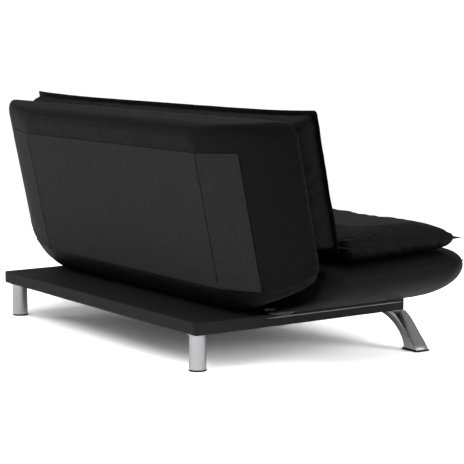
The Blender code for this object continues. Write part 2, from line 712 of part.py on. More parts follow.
def build_back_frame(pivot):
    """Timber frame of the back: a stout middle between the hinges and a light wing at each end."""
    y = (BACK_FRAME_FRONT, BACK_FRAME_REAR)
    cut = (BACK_FRAME_FRONT - 0.02, BACK_FRAME_REAR + 0.02)
    half = TIMBER / 2
    low = BACK_RAIL_LOW
    top = BACK_RAIL_HIGH + BACK_RAIL
    outer = BACK_STILE_X + half
    frame = boxes("back_frame", [((-outer, outer), y, (low, top))], PINE, pivot)
    open_z = (low + BACK_RAIL, BACK_RAIL_HIGH)
    windows = [(sorted((sign * half, sign * (outer - TIMBER))), cut, open_z) for sign in SIDES.values()]
    boolean(frame, hide(boxes("back_windows", windows, None, pivot, CUTTERS)))
    thin = (BACK_FRAME_FRONT, BACK_FRAME_FRONT + WING_THICKNESS)
    for side, sign in SIDES.items():
        end_stile = sorted((sign * (WING_X - half), sign * (WING_X + half)))
        reach = sorted((sign * (outer - half), sign * WING_X))
        for label, x, z in (("stile", end_stile, (low, top)),
                            ("low_rail", reach, (WING_RAIL, WING_RAIL + BACK_RAIL)),
                            ("high_rail", reach, (BACK_RAIL_HIGH, top))):
            part = boxes("wing_%s_%s" % (label, side), [(x, thin, z)], None, pivot, CUTTERS)
            boolean(frame, hide(part), "UNION")
    boolean(frame, bpy.data.objects["arm_bolt_holes"])
    for number, x in enumerate(BACK_SPRINGS, 1):
        wave = [(x + sway, BACK_FRAME_FRONT - 0.0035, z) for sway, z in zigzag(low, top, 0.06, 8)]
        wires("back_spring_%d" % number, [wave], SPRING_WIRE, STEEL, pivot)


# ---------------------------------------------------------------- click-clack hinges

def arc(centre, radius, start, end, steps):
    """Points on an arc in YZ, angles in degrees counted from +Y towards +Z."""
    points = []
    for step in range(steps + 1):
        angle = math.radians(start + (end - start) * step / steps)
        points.append((centre[0] + radius * math.cos(angle), centre[1] + radius * math.sin(angle)))
    return points


def pawl_pin_place():
    return PIVOT_Y - PAWL_AHEAD, PIVOT_Z - PAWL_BELOW


def hinge_bolt_places():
    """Bolts of the seat plate, as world y and z."""
    return [(behind(0.405), 0.214), (behind(0.465), 0.214)]


def arm_bolt_places():
    """Bolts of the ratchet arm, as y and z in the back's frame."""
    return [(0.058, 0.120), (0.058, 0.185)]


def hinge_bolt_holes():
    runs = []
    for sign in SIDES.values():
        for y, z in hinge_bolt_places():
            runs.append(((sign * 0.584, y, z), (sign * 0.612, y, z), 0.003 + GAP))
        for y, z, radius in ((PIVOT_Y, PIVOT_Z, PIVOT_RADIUS), (*pawl_pin_place(), 0.003)):
            runs.append(((sign * 0.590, y, z), (sign * 0.620, y, z), radius + GAP))
    return rods("hinge_bolt_holes", runs)


def arm_bolt_holes(pivot):
    runs = []
    for sign in SIDES.values():
        for y, z in arm_bolt_places():
            runs.append(((sign * 0.586, y, z), (sign * 0.615, y, z), 0.003 + GAP))
        runs.append(((sign * 0.590, 0.0, 0.0), (sign * 0.620, 0.0, 0.0), PIVOT_RADIUS + GAP))
    return rods("arm_bolt_holes", runs, pivot)


def seat_plate_outline():
    eye = arc((PIVOT_Y, PIVOT_Z), 0.022, 100, -60, 8)
    pin_y, pin_z = pawl_pin_place()
    nose = arc((pin_y, pin_z), 0.014, -60, -110, 3)
    return eye + nose + [(behind(0.365), 0.192), (behind(0.490), 0.192), (behind(0.490), 0.236),
                         (behind(0.350), 0.240)]


def ratchet_outline():
    """Disc with a notch for each stop, and a strap up the stile of the back."""
    points = []
    notches = [math.radians(180 + math.degrees(BACK_TILT) + angle) for angle in NOTCH_ANGLES]
    for step in range(37):
        angle = math.radians(120 + step * 5.0)
        near = min(abs(angle - notch) for notch in notches)
        depth = NOTCH_DEPTH if near < math.radians(5.2) else 0.0
        radius = RATCHET_RADIUS - depth
        points.append((radius * math.cos(angle), radius * math.sin(angle)))
    strap = [(0.040, 0.052), (0.078, 0.085), (0.078, 0.210), (0.040, 0.210), (0.036, 0.085)]
    return points + strap


def pawl_outline():
    """Finger that stands up from its pin, with a tooth pointing back at the ratchet disc."""
    y, z = pawl_pin_place()
    tooth = PIVOT_Y - PAWL_TIP
    pad = arc((y, z), 0.008, -160, 40, 8)
    return pad + [(tooth - 0.0045, PIVOT_Z - 0.0035), (tooth, PIVOT_Z), (tooth - 0.0045, PIVOT_Z + 0.0035),
                  (y - 0.004, PIVOT_Z + 0.007), (y - 0.008, PIVOT_Z + 0.002)]


def mirrored_plate(name, points, x, sign, look, parent=None):
    plate = outline_solid(name, points, HINGE_PLATE, look, parent)
    plate.data.transform(Matrix.Translation((sign * x, 0.0, 0.0)))
    return plate


def torsion_spring(sign):
    y, z = pawl_pin_place()
    points = []
    turns = 2.5
    steps = 20
    for step in range(steps + 1):
        share = step / steps
        angle = share * turns * 2 * math.pi
        points.append((sign * (0.6100 + 0.0035 * share), y + 0.0055 * math.cos(angle),
                       z + 0.0055 * math.sin(angle)))
    return points


def build_hinges(pivot):
    seat_bores = bpy.data.objects["hinge_bolt_holes"]
    arm_bores = bpy.data.objects["arm_bolt_holes"]
    pin_y, pin_z = pawl_pin_place()
    for side, sign in SIDES.items():
        plate = mirrored_plate("hinge_plate_" + side, seat_plate_outline(), SEAT_PLATE_X, sign, ZINC)
        boolean(plate, seat_bores)
        arm = mirrored_plate("ratchet_arm_" + side, ratchet_outline(), RATCHET_X, sign, ZINC, pivot)
        boolean(arm, arm_bores)
        pawl = mirrored_plate("pawl_" + side, pawl_outline(), RATCHET_X, sign, ZINC)
        boolean(pawl, seat_bores)
        outwards = (0.0, sign * math.pi / 2, 0.0)
        bolt("pivot_bolt_" + side, (0.011, 0.005), (PIVOT_RADIUS, 0.0150),
             (sign * 0.6092, PIVOT_Y, PIVOT_Z), outwards)
        bolt("pawl_pin_" + side, (0.006, 0.0015), (BOLT_RADIUS, 0.0190),
             (sign * 0.6150, pin_y, pin_z), outwards)
        wires("pawl_spring_" + side, [torsion_spring(sign)], 0.0006, STEEL)
        for number, (y, z) in enumerate(hinge_bolt_places(), 1):
            bolt("hinge_bolt_%s_%d" % (side, number), (0.0055, 0.004), (BOLT_RADIUS, 0.0196),
                 (sign * 0.6046, y, z), outwards)
        for number, (y, z) in enumerate(arm_bolt_places(), 1):
            bolt("arm_bolt_%s_%d" % (side, number), (0.0055, 0.003), (BOLT_RADIUS, 0.0222),
                 (sign * 0.6092, y, z), outwards, pivot)


# ---------------------------------------------------------------- build

clear_scene()
PARTS = new_collection("futon_sofa_bed")
CUTTERS = new_collection("cutters")

LEATHERETTE = material("leatherette", (0.012, 0.012, 0.013), 0.48)
LINING = material("rear_lining", (0.022, 0.022, 0.023), 0.85)
BASE_CLOTH = material("base_vinyl", (0.011, 0.011, 0.012), 0.60)
CHROME = material("satin_chrome", (0.62, 0.62, 0.62), 0.25, 1.0)
BLACK_PLASTIC = material("black_plastic", (0.02, 0.02, 0.02), 0.50)
STEEL = material("bright_steel", (0.50, 0.50, 0.50), 0.35, 1.0)
ZINC = material("zinc_plate", (0.38, 0.39, 0.40), 0.40, 1.0)
PINE = material("pine", (0.55, 0.38, 0.22), 0.70)
PLYWOOD = material("plywood", (0.50, 0.35, 0.20), 0.75)
FOAM = material("foam", (0.72, 0.70, 0.58), 0.95)
ZIP_TAPE = material("zip_tape", (0.015, 0.015, 0.015), 0.70)


def main():
    pivot = bpy.data.objects.new("back_pivot", None)
    PARTS.objects.link(pivot)
    pivot.location = (0.0, PIVOT_Y, PIVOT_Z)
    pivot.rotation_euler = (-BACK_TILT, 0.0, 0.0)
    build_base()
    for side, sign in SIDES.items():
        build_rear_leg(side, sign)
        build_front_leg(side, sign)
    arm_bolt_holes(pivot)
    build_seat_frame()
    build_seat_upholstery()
    build_pads(pivot)
    build_back_upholstery(pivot)
    build_back_frame(pivot)
    build_hinges(pivot)


main()
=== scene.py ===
"""Looks of the click-clack futon sofa bed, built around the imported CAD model.

Same frame as the CAD model: +X along the sofa, -Y towards the front edge of the seat, +Z up, metres.
Hulls with their foam, linings, pads, zips, the base's wrap and the legs with their glides are replaced by
finer pieces. Frames, springs, hinges and bolts are the CAD's own, with finished materials.
"""
import json
import math

import bmesh
import bpy
from mathutils import Matrix, Vector, noise
from mathutils.bvhtree import BVHTree

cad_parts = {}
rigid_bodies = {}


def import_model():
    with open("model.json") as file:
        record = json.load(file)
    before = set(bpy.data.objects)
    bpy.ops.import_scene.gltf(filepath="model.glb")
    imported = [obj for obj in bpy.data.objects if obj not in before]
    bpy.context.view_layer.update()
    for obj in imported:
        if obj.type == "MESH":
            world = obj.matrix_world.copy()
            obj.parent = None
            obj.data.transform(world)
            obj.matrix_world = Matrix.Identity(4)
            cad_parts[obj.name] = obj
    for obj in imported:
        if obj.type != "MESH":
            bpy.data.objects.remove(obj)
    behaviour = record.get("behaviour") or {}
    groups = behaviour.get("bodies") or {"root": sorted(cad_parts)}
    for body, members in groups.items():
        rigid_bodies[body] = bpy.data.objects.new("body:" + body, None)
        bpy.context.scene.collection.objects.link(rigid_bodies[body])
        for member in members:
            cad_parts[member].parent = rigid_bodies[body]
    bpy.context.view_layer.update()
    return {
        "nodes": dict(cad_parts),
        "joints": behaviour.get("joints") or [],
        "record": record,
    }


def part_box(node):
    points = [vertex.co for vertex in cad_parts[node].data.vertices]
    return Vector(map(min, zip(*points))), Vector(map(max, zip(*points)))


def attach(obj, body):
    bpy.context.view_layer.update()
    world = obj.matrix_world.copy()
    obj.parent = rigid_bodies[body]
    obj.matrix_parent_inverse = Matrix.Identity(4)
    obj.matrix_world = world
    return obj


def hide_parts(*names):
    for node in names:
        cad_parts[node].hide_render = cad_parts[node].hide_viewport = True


for leftover in list(bpy.data.objects):
    bpy.data.objects.remove(leftover, do_unlink=True)

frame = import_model()

# ---------------- sizes, from the frame where it states them

SEAT_LOW, SEAT_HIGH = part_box("seat_cover")
BASE_LOW, BASE_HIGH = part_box("base_cover")
SEAT_PAD_LOW, SEAT_PAD_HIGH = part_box("seat_pad_cover")
PIVOT = Vector(next(joint for joint in frame["joints"] if joint["child"] == "back")["pos_m"])
SIDES = {"left": 1, "right": -1}

REAR_Y = BASE_HIGH.y
HALF = SEAT_HIGH.x
TILT = math.radians(11.81)
UP = Vector((0.0, math.sin(TILT), math.cos(TILT)))
AHEAD = Vector((0.0, -math.cos(TILT), math.sin(TILT)))

# seat hull
SEAT_WIDEST = 0.285  # level of its widest line
SEAT_TOP = 0.328  # at the rear edge of the seat pad
SEAT_RISE = 0.040  # rise of the seat's top towards the front, per metre
SEAT_FOOT_X = 0.640
SEAT_FOOT_FRONT = REAR_Y - 0.840
SEAT_TOP_ROUND = 0.065
BELLY_TUCK = 0.011  # how much the covering is pulled up between foot and widest line
SEAT_CORNER = 0.13
WELL = (0.60, 0.74, 0.103, 0.072)  # middle and end half lengths, middle and end radii
STRIP_DROP = 0.013  # platform's top to the middle of the bright strip

# back hull, in the back's own frame; its levels are depth towards the front, half length and top
BACK_REAR = 0.0965
BACK_FRONT = 0.053
BACK_HEIGHT = 0.535
BACK_CORNER = 0.050
SWEEP_FROM = 0.56  # where the bottom edge starts to rise towards the ends
SWEEP_RISE = 0.13
BACK_LEVELS = [(-BACK_REAR, 0.560, BACK_HEIGHT - 0.032), (-0.0900, 0.595, BACK_HEIGHT - 0.017),
               (-0.0780, 0.650, BACK_HEIGHT - 0.007), (-0.0550, 0.735, BACK_HEIGHT),
               (-0.0250, 0.820, BACK_HEIGHT), (0.0080, 0.885, BACK_HEIGHT),
               (0.0300, 0.915, BACK_HEIGHT - 0.002), (0.0420, HALF, BACK_HEIGHT - 0.005),
               (BACK_FRONT, 0.908, BACK_HEIGHT - 0.016)]

# rear lining
LINING_HALF = 0.735
LINING_SEAM = 0.5573  # middle of the sofa to the seam
LINING_TOP = 0.447
LINING_BOTTOM = 0.004
LINING_THICK = 0.0016
LINING_CELL = 0.008

# pads
PAD_HALF = SEAT_PAD_HIGH.x
PAD_FLANGE = 0.012
PAD_CORNER = 0.020
PAD_GAP = 0.001  # pad to the hull under it
SEAT_PAD_BOTTOM = SEAT_TOP + PAD_GAP
SEAT_PAD_SEAM = 0.55  # height of the seam as a share of the thickness
BACK_PAD = (0.085, 0.538)  # lower and upper edge, up the back
BACK_PAD_THICK = 0.130
BACK_PAD_SEAM = 0.74
BACK_PAD_SAG = 0.010
CORE_TAKEN_IN = 0.005
ZIP_HALF = 0.40
ZIP_LEVEL = 0.34  # share of the pad's thickness
ZIP_TAPE_THICK = 0.0012

# base and legs
BASE_CORNER = 0.010
WRAP_EDGE = 0.0035
WRAP_MARGIN = 0.030  # turned under the platform
CLOTH_INSET = 0.022
REAR_LEG_RADIUS = 0.0275
FRONT_LEG_EDGE = 0.0018

# foam blocks, and the slots that the hinges run in: spans along x, then spans of y and z
FOAM_TAKEN_IN = 0.014
FOAM_MORE_AT_ENDS = 0.016
SLOT = (0.592, 0.618)
SEAT_SLOTS = (((REAR_Y - 0.358, REAR_Y - 0.25), (0.185, 0.300)),)
BACK_SLOTS = (((-0.07, 0.037), (-0.12, 0.052)), ((-0.08, 0.074), (-0.13, 0.003)))

# meshes and cloth simulation
HULL_VOXEL = 0.008
PAD_VOXEL = 0.008
WELD = 0.00002  # points closer than this are joined
SIM_FRAMES = 20
SIM_LIMIT = 0.018  # furthest that a point may move
CLOTH = {"quality": 4, "mass": 0.3, "tension_stiffness": 12.0, "compression_stiffness": 12.0,
         "shear_stiffness": 6.0, "bending_stiffness": 1.2, "use_pressure": True,
         "uniform_pressure_force": 4.0, "shrink_min": -0.018, "vertex_group_mass": "sewn"}

# stage
FLOOR_TONE = 0.85
FLOOR_GAIN = 8.5  # exposure of the floor and backdrop against the object
FLOOR_MIRRORED = 3.0  # the same, as seen in gloss and chrome
FLOOR_FADE = (1.3, 3.6)  # distances over which the floor fades to the backdrop
BACKDROP = 1.05
WORLD_FILL = 0.10  # backdrop as a light
WORLD_MIRRORED = 0.24  # backdrop as seen in gloss and chrome
CAMERA_PLACE = (-4.77, 3.175, 1.076)
CAMERA_AHEAD = (0.8161, -0.5636, -0.1269)
LIGHTS = (  # name, place, aim, size, power
    ("top_light", (-0.2, -0.3, 3.2), (0.0, 0.0, 0.3), (4.2, 3.4), 15.0),
    ("rear_light", (-0.6, 2.8, 3.5), (0.0, 0.4, 0.3), (4.4, 2.4), 17.0),
    ("far_light", (3.6, 2.2, 1.4), (0.6, 0.3, 0.4), (1.6, 1.6), 7.0),
    ("end_light", (-4.1, -2.4, 1.9), (-0.6, -0.1, 0.3), (3.0, 2.0), 34.0),
)


# ---------------- small helpers

def clamp(value, low=0.0, high=1.0):
    return max(low, min(high, value))


def ease(low, high, value):
    """0 below low, 1 above high, smooth in between."""
    share = clamp((value - low) / (high - low))
    return share * share * (3.0 - 2.0 * share)


def spread(low, high, count):
    """That many values, evenly from low to high."""
    return [low + (high - low) * index / (count - 1) for index in range(count)]


def quarter_turn(steps):
    """Angles from 0 to a right angle."""
    return [step / steps * math.pi / 2 for step in range(steps + 1)]


def spline(knots, x, column=1):
    """Smooth curve through rows of knots, read at x."""
    if x <= knots[0][0]:
        return knots[0][column]
    for index in range(len(knots) - 1):
        left, right = knots[index], knots[index + 1]
        if x <= right[0]:
            before = knots[max(index - 1, 0)]
            after = knots[min(index + 2, len(knots) - 1)]
            span = right[0] - left[0]
            slope_left = (right[column] - before[column]) / (right[0] - before[0]) * span
            slope_right = (after[column] - left[column]) / (after[0] - left[0]) * span
            u = (x - left[0]) / span
            return ((2 * u ** 3 - 3 * u ** 2 + 1) * left[column] + (u ** 3 - 2 * u ** 2 + u) * slope_left
                    + (3 * u ** 2 - 2 * u ** 3) * right[column] + (u ** 3 - u ** 2) * slope_right)
    return knots[-1][column]


def on_back(x, up, ahead):
    """World place of a point given in the back's own frame."""
    return PIVOT + Vector((x, 0.0, 0.0)) + UP * up + AHEAD * ahead


def outline(x, y, radius, corner=8, long=48, short=16):
    """Points round a rectangle with round corners, anticlockwise, its straight sides divided evenly."""
    points = []
    centres = ((x[1] - radius, y[1] - radius), (x[0] + radius, y[1] - radius),
               (x[0] + radius, y[0] + radius), (x[1] - radius, y[0] + radius))
    for quarter, (cx, cy) in enumerate(centres):
        for step in range(corner + 1):
            angle = (quarter + step / corner) * math.pi / 2
            points.append((cx + radius * math.cos(angle), cy + radius * math.sin(angle)))
        end = points[-1]
        turn = (quarter + 1) * math.pi / 2
        ahead = centres[(quarter + 1) % 4]
        start = (ahead[0] + radius * math.cos(turn), ahead[1] + radius * math.sin(turn))
        parts = long if quarter % 2 == 0 else short
        for step in range(1, parts):
            share = step / parts
            points.append((end[0] + (start[0] - end[0]) * share, end[1] + (start[1] - end[1]) * share))
    return points


def new_object(name, data, look=None):
    made = bpy.data.objects.new(name, data)
    bpy.context.scene.collection.objects.link(made)
    if look is not None:
        data.materials.clear()
        data.materials.append(look)
    return made


def aimed(holder, place, way):
    """A camera or lamp put at a place, looking that way."""
    holder.location = place
    holder.rotation_mode = "QUATERNION"
    holder.rotation_quaternion = way.to_track_quat("-Z", "Y")


def from_bmesh(name, bm, look, sharp=None):
    bmesh.ops.recalc_face_normals(bm, faces=bm.faces)
    mesh = bpy.data.meshes.new(name)
    bm.to_mesh(mesh)
    bm.free()
    mesh.shade_smooth()
    if sharp is not None:
        mesh.set_sharp_from_angle(angle=math.radians(sharp))
    return new_object(name, mesh, look)


def add_box(bm, size, middle, turn=None):
    """A box of that size, added at a place."""
    stand = Matrix.Translation(middle)
    if turn is not None:
        stand = stand @ turn
    bmesh.ops.create_cube(bm, size=1.0, matrix=stand @ Matrix.Diagonal((*size, 1.0)))


def two_sided(bm, first, second):
    """Faces over two grids of points, and round the rim between them."""
    rims = []
    for grid in (first, second):
        for low, high in zip(grid, grid[1:]):
            for column in range(len(low) - 1):
                bm.faces.new((low[column], low[column + 1], high[column + 1], high[column]))
        rims.append(grid[0] + [line[-1] for line in grid[1:]] + grid[-1][-2::-1]
                    + [line[0] for line in grid[-2:0:-1]])
    for index in range(len(rims[0])):
        after = (index + 1) % len(rims[0])
        bm.faces.new((rims[0][index], rims[0][after], rims[1][after], rims[1][index]))


def lofted(name, rings, look, sharp=None):
    """A closed skin through rings of world points."""
    bm = bmesh.new()
    rows = [[bm.verts.new(point) for point in ring] for ring in rings]
    for low, high in zip(rows, rows[1:]):
        for index in range(len(low)):
            after = (index + 1) % len(low)
            bm.faces.new((low[index], low[after], high[after], high[index]))
    bm.faces.new(reversed(rows[0]))
    bm.faces.new(rows[-1])
    return from_bmesh(name, bm, look, sharp)


def evaluated_mesh(piece):
    graph = bpy.context.evaluated_depsgraph_get()
    return bpy.data.meshes.new_from_object(piece.evaluated_get(graph))


def applied(piece):
    """The piece with its modifiers applied."""
    mesh = evaluated_mesh(piece)
    old = piece.data
    piece.modifiers.clear()
    piece.data = mesh
    bpy.data.meshes.remove(old)
    piece.data.name = piece.name
    return piece


def remeshed(piece, voxel, smooth=2):
    """An even mesh of the same form."""
    step = piece.modifiers.new("even", "REMESH")
    step.mode = "VOXEL"
    step.voxel_size = voxel
    step.use_smooth_shade = True
    soften = piece.modifiers.new("soften", "SMOOTH")
    soften.factor = 0.5
    soften.iterations = smooth
    return applied(piece)


def slotted(piece, spans, turn=None):
    """Slots cut for the hinges, at both ends. The spans are in the back's frame where turn is given."""
    for y, z in spans:
        bm = bmesh.new()
        for sign in SIDES.values():
            middle = (sign * (SLOT[0] + SLOT[1]) / 2, sum(y) / 2, sum(z) / 2)
            add_box(bm, (SLOT[1] - SLOT[0], y[1] - y[0], z[1] - z[0]), middle)
        if turn is not None:
            bm.transform(turn)
        cutter = from_bmesh("slot_cutter", bm, LEATHER)
        step = piece.modifiers.new("slot", "BOOLEAN")
        step.solver = "EXACT"
        step.object = cutter
        applied(piece)
        bpy.data.objects.remove(cutter, do_unlink=True)
    return piece


def pushed(piece, amount):
    """Each point moved out along its normal by what amount(place, normal) says."""
    mesh = piece.data
    moves = [amount(vertex.co, vertex.normal) for vertex in mesh.vertices]
    normals = [vertex.normal.copy() for vertex in mesh.vertices]
    for vertex, normal, move in zip(mesh.vertices, normals, moves):
        vertex.co += normal * move
    mesh.update()
    return piece


def ripple(place, size, seed=0.0):
    """Soft noise of about that size, from -1 to 1."""
    return noise.noise(Vector((place.x / size + seed, place.y / size, place.z / size)))


def crease(place, size, seed=0.0):
    """Narrow ridges of about that spacing, from 0 to 1."""
    return (1.0 - abs(ripple(place, size, seed))) ** 6


# ---------------- materials

def shader_of(name, colour, roughness, metallic=0.0, specular=0.5):
    look = bpy.data.materials.new(name)
    look.use_nodes = True
    shader = look.node_tree.nodes["Principled BSDF"]
    shader.inputs["Base Color"].default_value = (*colour, 1.0)
    shader.inputs["Roughness"].default_value = roughness
    shader.inputs["Metallic"].default_value = metallic
    shader.inputs["Specular IOR Level"].default_value = specular
    return look, look.node_tree, shader


def node(tree, kind, **values):
    """A node with its inputs set by name; attributes start with an underscore."""
    made = tree.nodes.new(kind)
    for key, value in values.items():
        if key.startswith("_"):
            setattr(made, key[1:], value)
        else:
            made.inputs[key.replace("_", " ")].default_value = value
    return made


def placed(tree, scale=(1.0, 1.0, 1.0), rotation=(0.0, 0.0, 0.0)):
    """Object coordinates, scaled and turned."""
    source = node(tree, "ShaderNodeTexCoord")
    mapping = node(tree, "ShaderNodeMapping", Scale=scale, Rotation=rotation)
    tree.links.new(source.outputs["Object"], mapping.inputs["Vector"])
    return mapping.outputs["Vector"]


def ranged(tree, value, low, high):
    """A 0 to 1 value stretched to low to high."""
    made = node(tree, "ShaderNodeMapRange", To_Min=low, To_Max=high)
    tree.links.new(value, made.inputs["Value"])
    return made.outputs["Result"]


def mixed(tree, factor, dark, light):
    made = node(tree, "ShaderNodeMix", _data_type="RGBA")
    made.inputs[6].default_value = (*dark, 1.0)
    made.inputs[7].default_value = (*light, 1.0)
    tree.links.new(factor, made.inputs["Factor"])
    return made.outputs[2]


def combined(tree, operation, first, second):
    made = node(tree, "ShaderNodeMath", _operation=operation)
    tree.links.new(first, made.inputs[0])
    tree.links.new(second, made.inputs[1])
    return made.outputs[0]


def laid(tree, spot, *textures):
    """Textures that share one set of coordinates."""
    for texture in textures:
        tree.links.new(spot, texture.inputs["Vector"])


def varied(tree, shader, tone, colours, gloss, roughness):
    """Colour that follows one texture, and roughness that follows another."""
    tree.links.new(mixed(tree, tone, *colours), shader.inputs["Base Color"])
    tree.links.new(ranged(tree, gloss, *roughness), shader.inputs["Roughness"])


def bumped(tree, shader, heights):
    """Chained bumps: each height is (socket, distance in metres, strength)."""
    normal = None
    for height, distance, strength in heights:
        made = node(tree, "ShaderNodeBump", Strength=strength, Distance=distance)
        tree.links.new(height, made.inputs["Height"])
        if normal is not None:
            tree.links.new(normal, made.inputs["Normal"])
        normal = made.outputs["Normal"]
    tree.links.new(normal, shader.inputs["Normal"])


def leatherette(name, dark, light, roughness, specular, grain=850.0):
    """Coated cloth: pebbled grain, soft wrinkles, colour and gloss that vary a little."""
    look, tree, shader = shader_of(name, dark, sum(roughness) / 2, 0.0, specular)
    pebbles = node(tree, "ShaderNodeTexVoronoi", Scale=grain)
    fine = node(tree, "ShaderNodeTexNoise", Scale=grain * 0.45, Detail=3.0)
    wrinkles = node(tree, "ShaderNodeTexNoise", Scale=16.0, Detail=5.0, Roughness=0.62, Distortion=1.4)
    clouds = node(tree, "ShaderNodeTexNoise", Scale=3.5, Detail=3.0)
    laid(tree, placed(tree), pebbles, fine, wrinkles, clouds)
    varied(tree, shader, clouds.outputs["Fac"], (dark, light), wrinkles.outputs["Fac"], roughness)
    bumped(tree, shader, [(wrinkles.outputs["Fac"], 0.004, 0.22), (fine.outputs["Fac"], 0.0006, 0.25),
                          (pebbles.outputs["Distance"], 0.0005, 0.30)])
    return look


def woven(name, dark, light, roughness, pitch, turn=0.0, sheen=0.0):
    """Plain weave of the given thread pitch."""
    look, tree, shader = shader_of(name, dark, roughness, 0.0, 0.25)
    shader.inputs["Sheen Weight"].default_value = sheen
    shader.inputs["Sheen Roughness"].default_value = 0.45
    scale = 0.314 / pitch  # a wave texture's scale for one thread in each pitch
    warp = node(tree, "ShaderNodeTexWave", _bands_direction="X", Scale=scale, Distortion=0.4)
    weft = node(tree, "ShaderNodeTexWave", _bands_direction="Z", Scale=scale, Distortion=0.4)
    slubs = node(tree, "ShaderNodeTexNoise", Scale=60.0, Detail=6.0, Roughness=0.7)
    clouds = node(tree, "ShaderNodeTexNoise", Scale=4.0, Detail=2.0)
    laid(tree, placed(tree, rotation=(turn, 0.0, 0.0)), warp, weft, slubs, clouds)
    cross = combined(tree, "MAXIMUM", warp.outputs["Fac"], weft.outputs["Fac"])
    shade = combined(tree, "MULTIPLY", cross, slubs.outputs["Fac"])
    varied(tree, shader, shade, (dark, light), clouds.outputs["Fac"], (roughness - 0.06, roughness + 0.05))
    bumped(tree, shader, [(slubs.outputs["Fac"], 0.0008, 0.25), (cross, 0.0004, 0.45)])
    return look


def metal(name, colour, roughness, grain=(260.0, 260.0, 6.0)):
    """Metal with fine lines along one direction and a little tarnish."""
    look, tree, shader = shader_of(name, colour, sum(roughness) / 2, 1.0)
    lines = node(tree, "ShaderNodeTexNoise", Scale=1.0, Detail=3.0)
    clouds = node(tree, "ShaderNodeTexNoise", Scale=22.0, Detail=4.0)
    laid(tree, placed(tree, grain), lines)
    laid(tree, placed(tree), clouds)
    dull = tuple(0.88 * channel for channel in colour)
    varied(tree, shader, clouds.outputs["Fac"], (dull, colour), lines.outputs["Fac"], roughness)
    bumped(tree, shader, [(lines.outputs["Fac"], 0.00012, 0.35)])
    return look


def moulded(name, colour, roughness):
    """Moulded plastic with a faint spark-eroded texture."""
    look, tree, shader = shader_of(name, colour, roughness)
    grit = node(tree, "ShaderNodeTexNoise", Scale=900.0, Detail=2.0)
    scuffs = node(tree, "ShaderNodeTexNoise", Scale=40.0, Detail=5.0)
    laid(tree, placed(tree), grit, scuffs)
    worn = tuple(1.5 * channel for channel in colour)
    mark = scuffs.outputs["Fac"]
    varied(tree, shader, mark, (colour, worn), mark, (roughness - 0.08, roughness + 0.10))
    bumped(tree, shader, [(grit.outputs["Fac"], 0.0003, 0.3)])
    return look


def timber(name, dark, light, along):
    """Planed timber, its grain drawn out along one direction."""
    look, tree, shader = shader_of(name, dark, 0.65)
    rings = node(tree, "ShaderNodeTexNoise", Scale=4.0, Detail=8.0, Roughness=0.65, Distortion=0.6)
    fibres = node(tree, "ShaderNodeTexNoise", Scale=60.0, Detail=3.0)
    laid(tree, placed(tree, along), rings, fibres)
    varied(tree, shader, rings.outputs["Fac"], (dark, light), fibres.outputs["Fac"], (0.55, 0.80))
    bumped(tree, shader, [(fibres.outputs["Fac"], 0.0004, 0.4)])
    return look


def cellular(name, dark, light):
    """Open-cell foam."""
    look, tree, shader = shader_of(name, light, 0.95, 0.0, 0.2)
    cells = node(tree, "ShaderNodeTexVoronoi", Scale=420.0)
    clouds = node(tree, "ShaderNodeTexNoise", Scale=9.0, Detail=3.0)
    laid(tree, placed(tree), cells, clouds)
    varied(tree, shader, clouds.outputs["Fac"], (dark, light), clouds.outputs["Fac"], (0.88, 1.0))
    bumped(tree, shader, [(cells.outputs["Distance"], 0.001, 0.6)])
    return look


LEATHER = leatherette("leatherette", (0.0085, 0.0085, 0.0090), (0.0150, 0.0150, 0.0156), (0.42, 0.58), 0.12)
WRAP = leatherette("base_vinyl", (0.038, 0.038, 0.0385), (0.054, 0.054, 0.0546), (0.50, 0.64), 0.25, 1200.0)
LINING = woven("rear_lining", (0.066, 0.066, 0.067), (0.170, 0.170, 0.172), 0.88, 0.0016, -TILT, 0.08)
DUST = woven("dust_cloth", (0.006, 0.006, 0.006), (0.016, 0.016, 0.016), 0.92, 0.0020)
TAPE = woven("zip_tape", (0.006, 0.006, 0.006), (0.014, 0.014, 0.014), 0.80, 0.0009)
THREAD = woven("thread", (0.008, 0.008, 0.008), (0.020, 0.020, 0.020), 0.60, 0.0004)
CHROME = metal("satin_chrome", (0.74, 0.74, 0.75), (0.16, 0.30))
STEEL = metal("bright_steel", (0.50, 0.50, 0.51), (0.28, 0.42), (90.0, 90.0, 90.0))
ZINC = metal("zinc_plate", (0.40, 0.41, 0.42), (0.34, 0.50), (60.0, 60.0, 60.0))
STRIP = metal("edge_strip", (0.52, 0.52, 0.53), (0.25, 0.40), (6.0, 200.0, 200.0))
PLASTIC = moulded("black_plastic", (0.012, 0.012, 0.012), 0.48)
PINE = timber("pine", (0.46, 0.29, 0.15), (0.66, 0.47, 0.28), (1.2, 18.0, 18.0))
PLYWOOD = timber("plywood", (0.42, 0.28, 0.15), (0.58, 0.42, 0.26), (1.0, 9.0, 60.0))
FOAM = cellular("foam", (0.60, 0.56, 0.40), (0.74, 0.71, 0.58))

CAD_LOOKS = {
    "leatherette": LEATHER, "rear_lining": LINING, "base_vinyl": WRAP, "satin_chrome": CHROME,
    "black_plastic": PLASTIC, "bright_steel": STEEL, "zinc_plate": ZINC, "pine": PINE,
    "plywood": PLYWOOD, "foam": FOAM, "zip_tape": TAPE,
}


def dress_cad_nodes():
    """Each CAD node gets the finished material of its slot."""
    for part in frame["record"]["subparts"]:
        holder = frame["nodes"][part["node"]]
        for place in holder.material_slots:
            place.link = "OBJECT"
            place.material = CAD_LOOKS[part["material_slot"]]


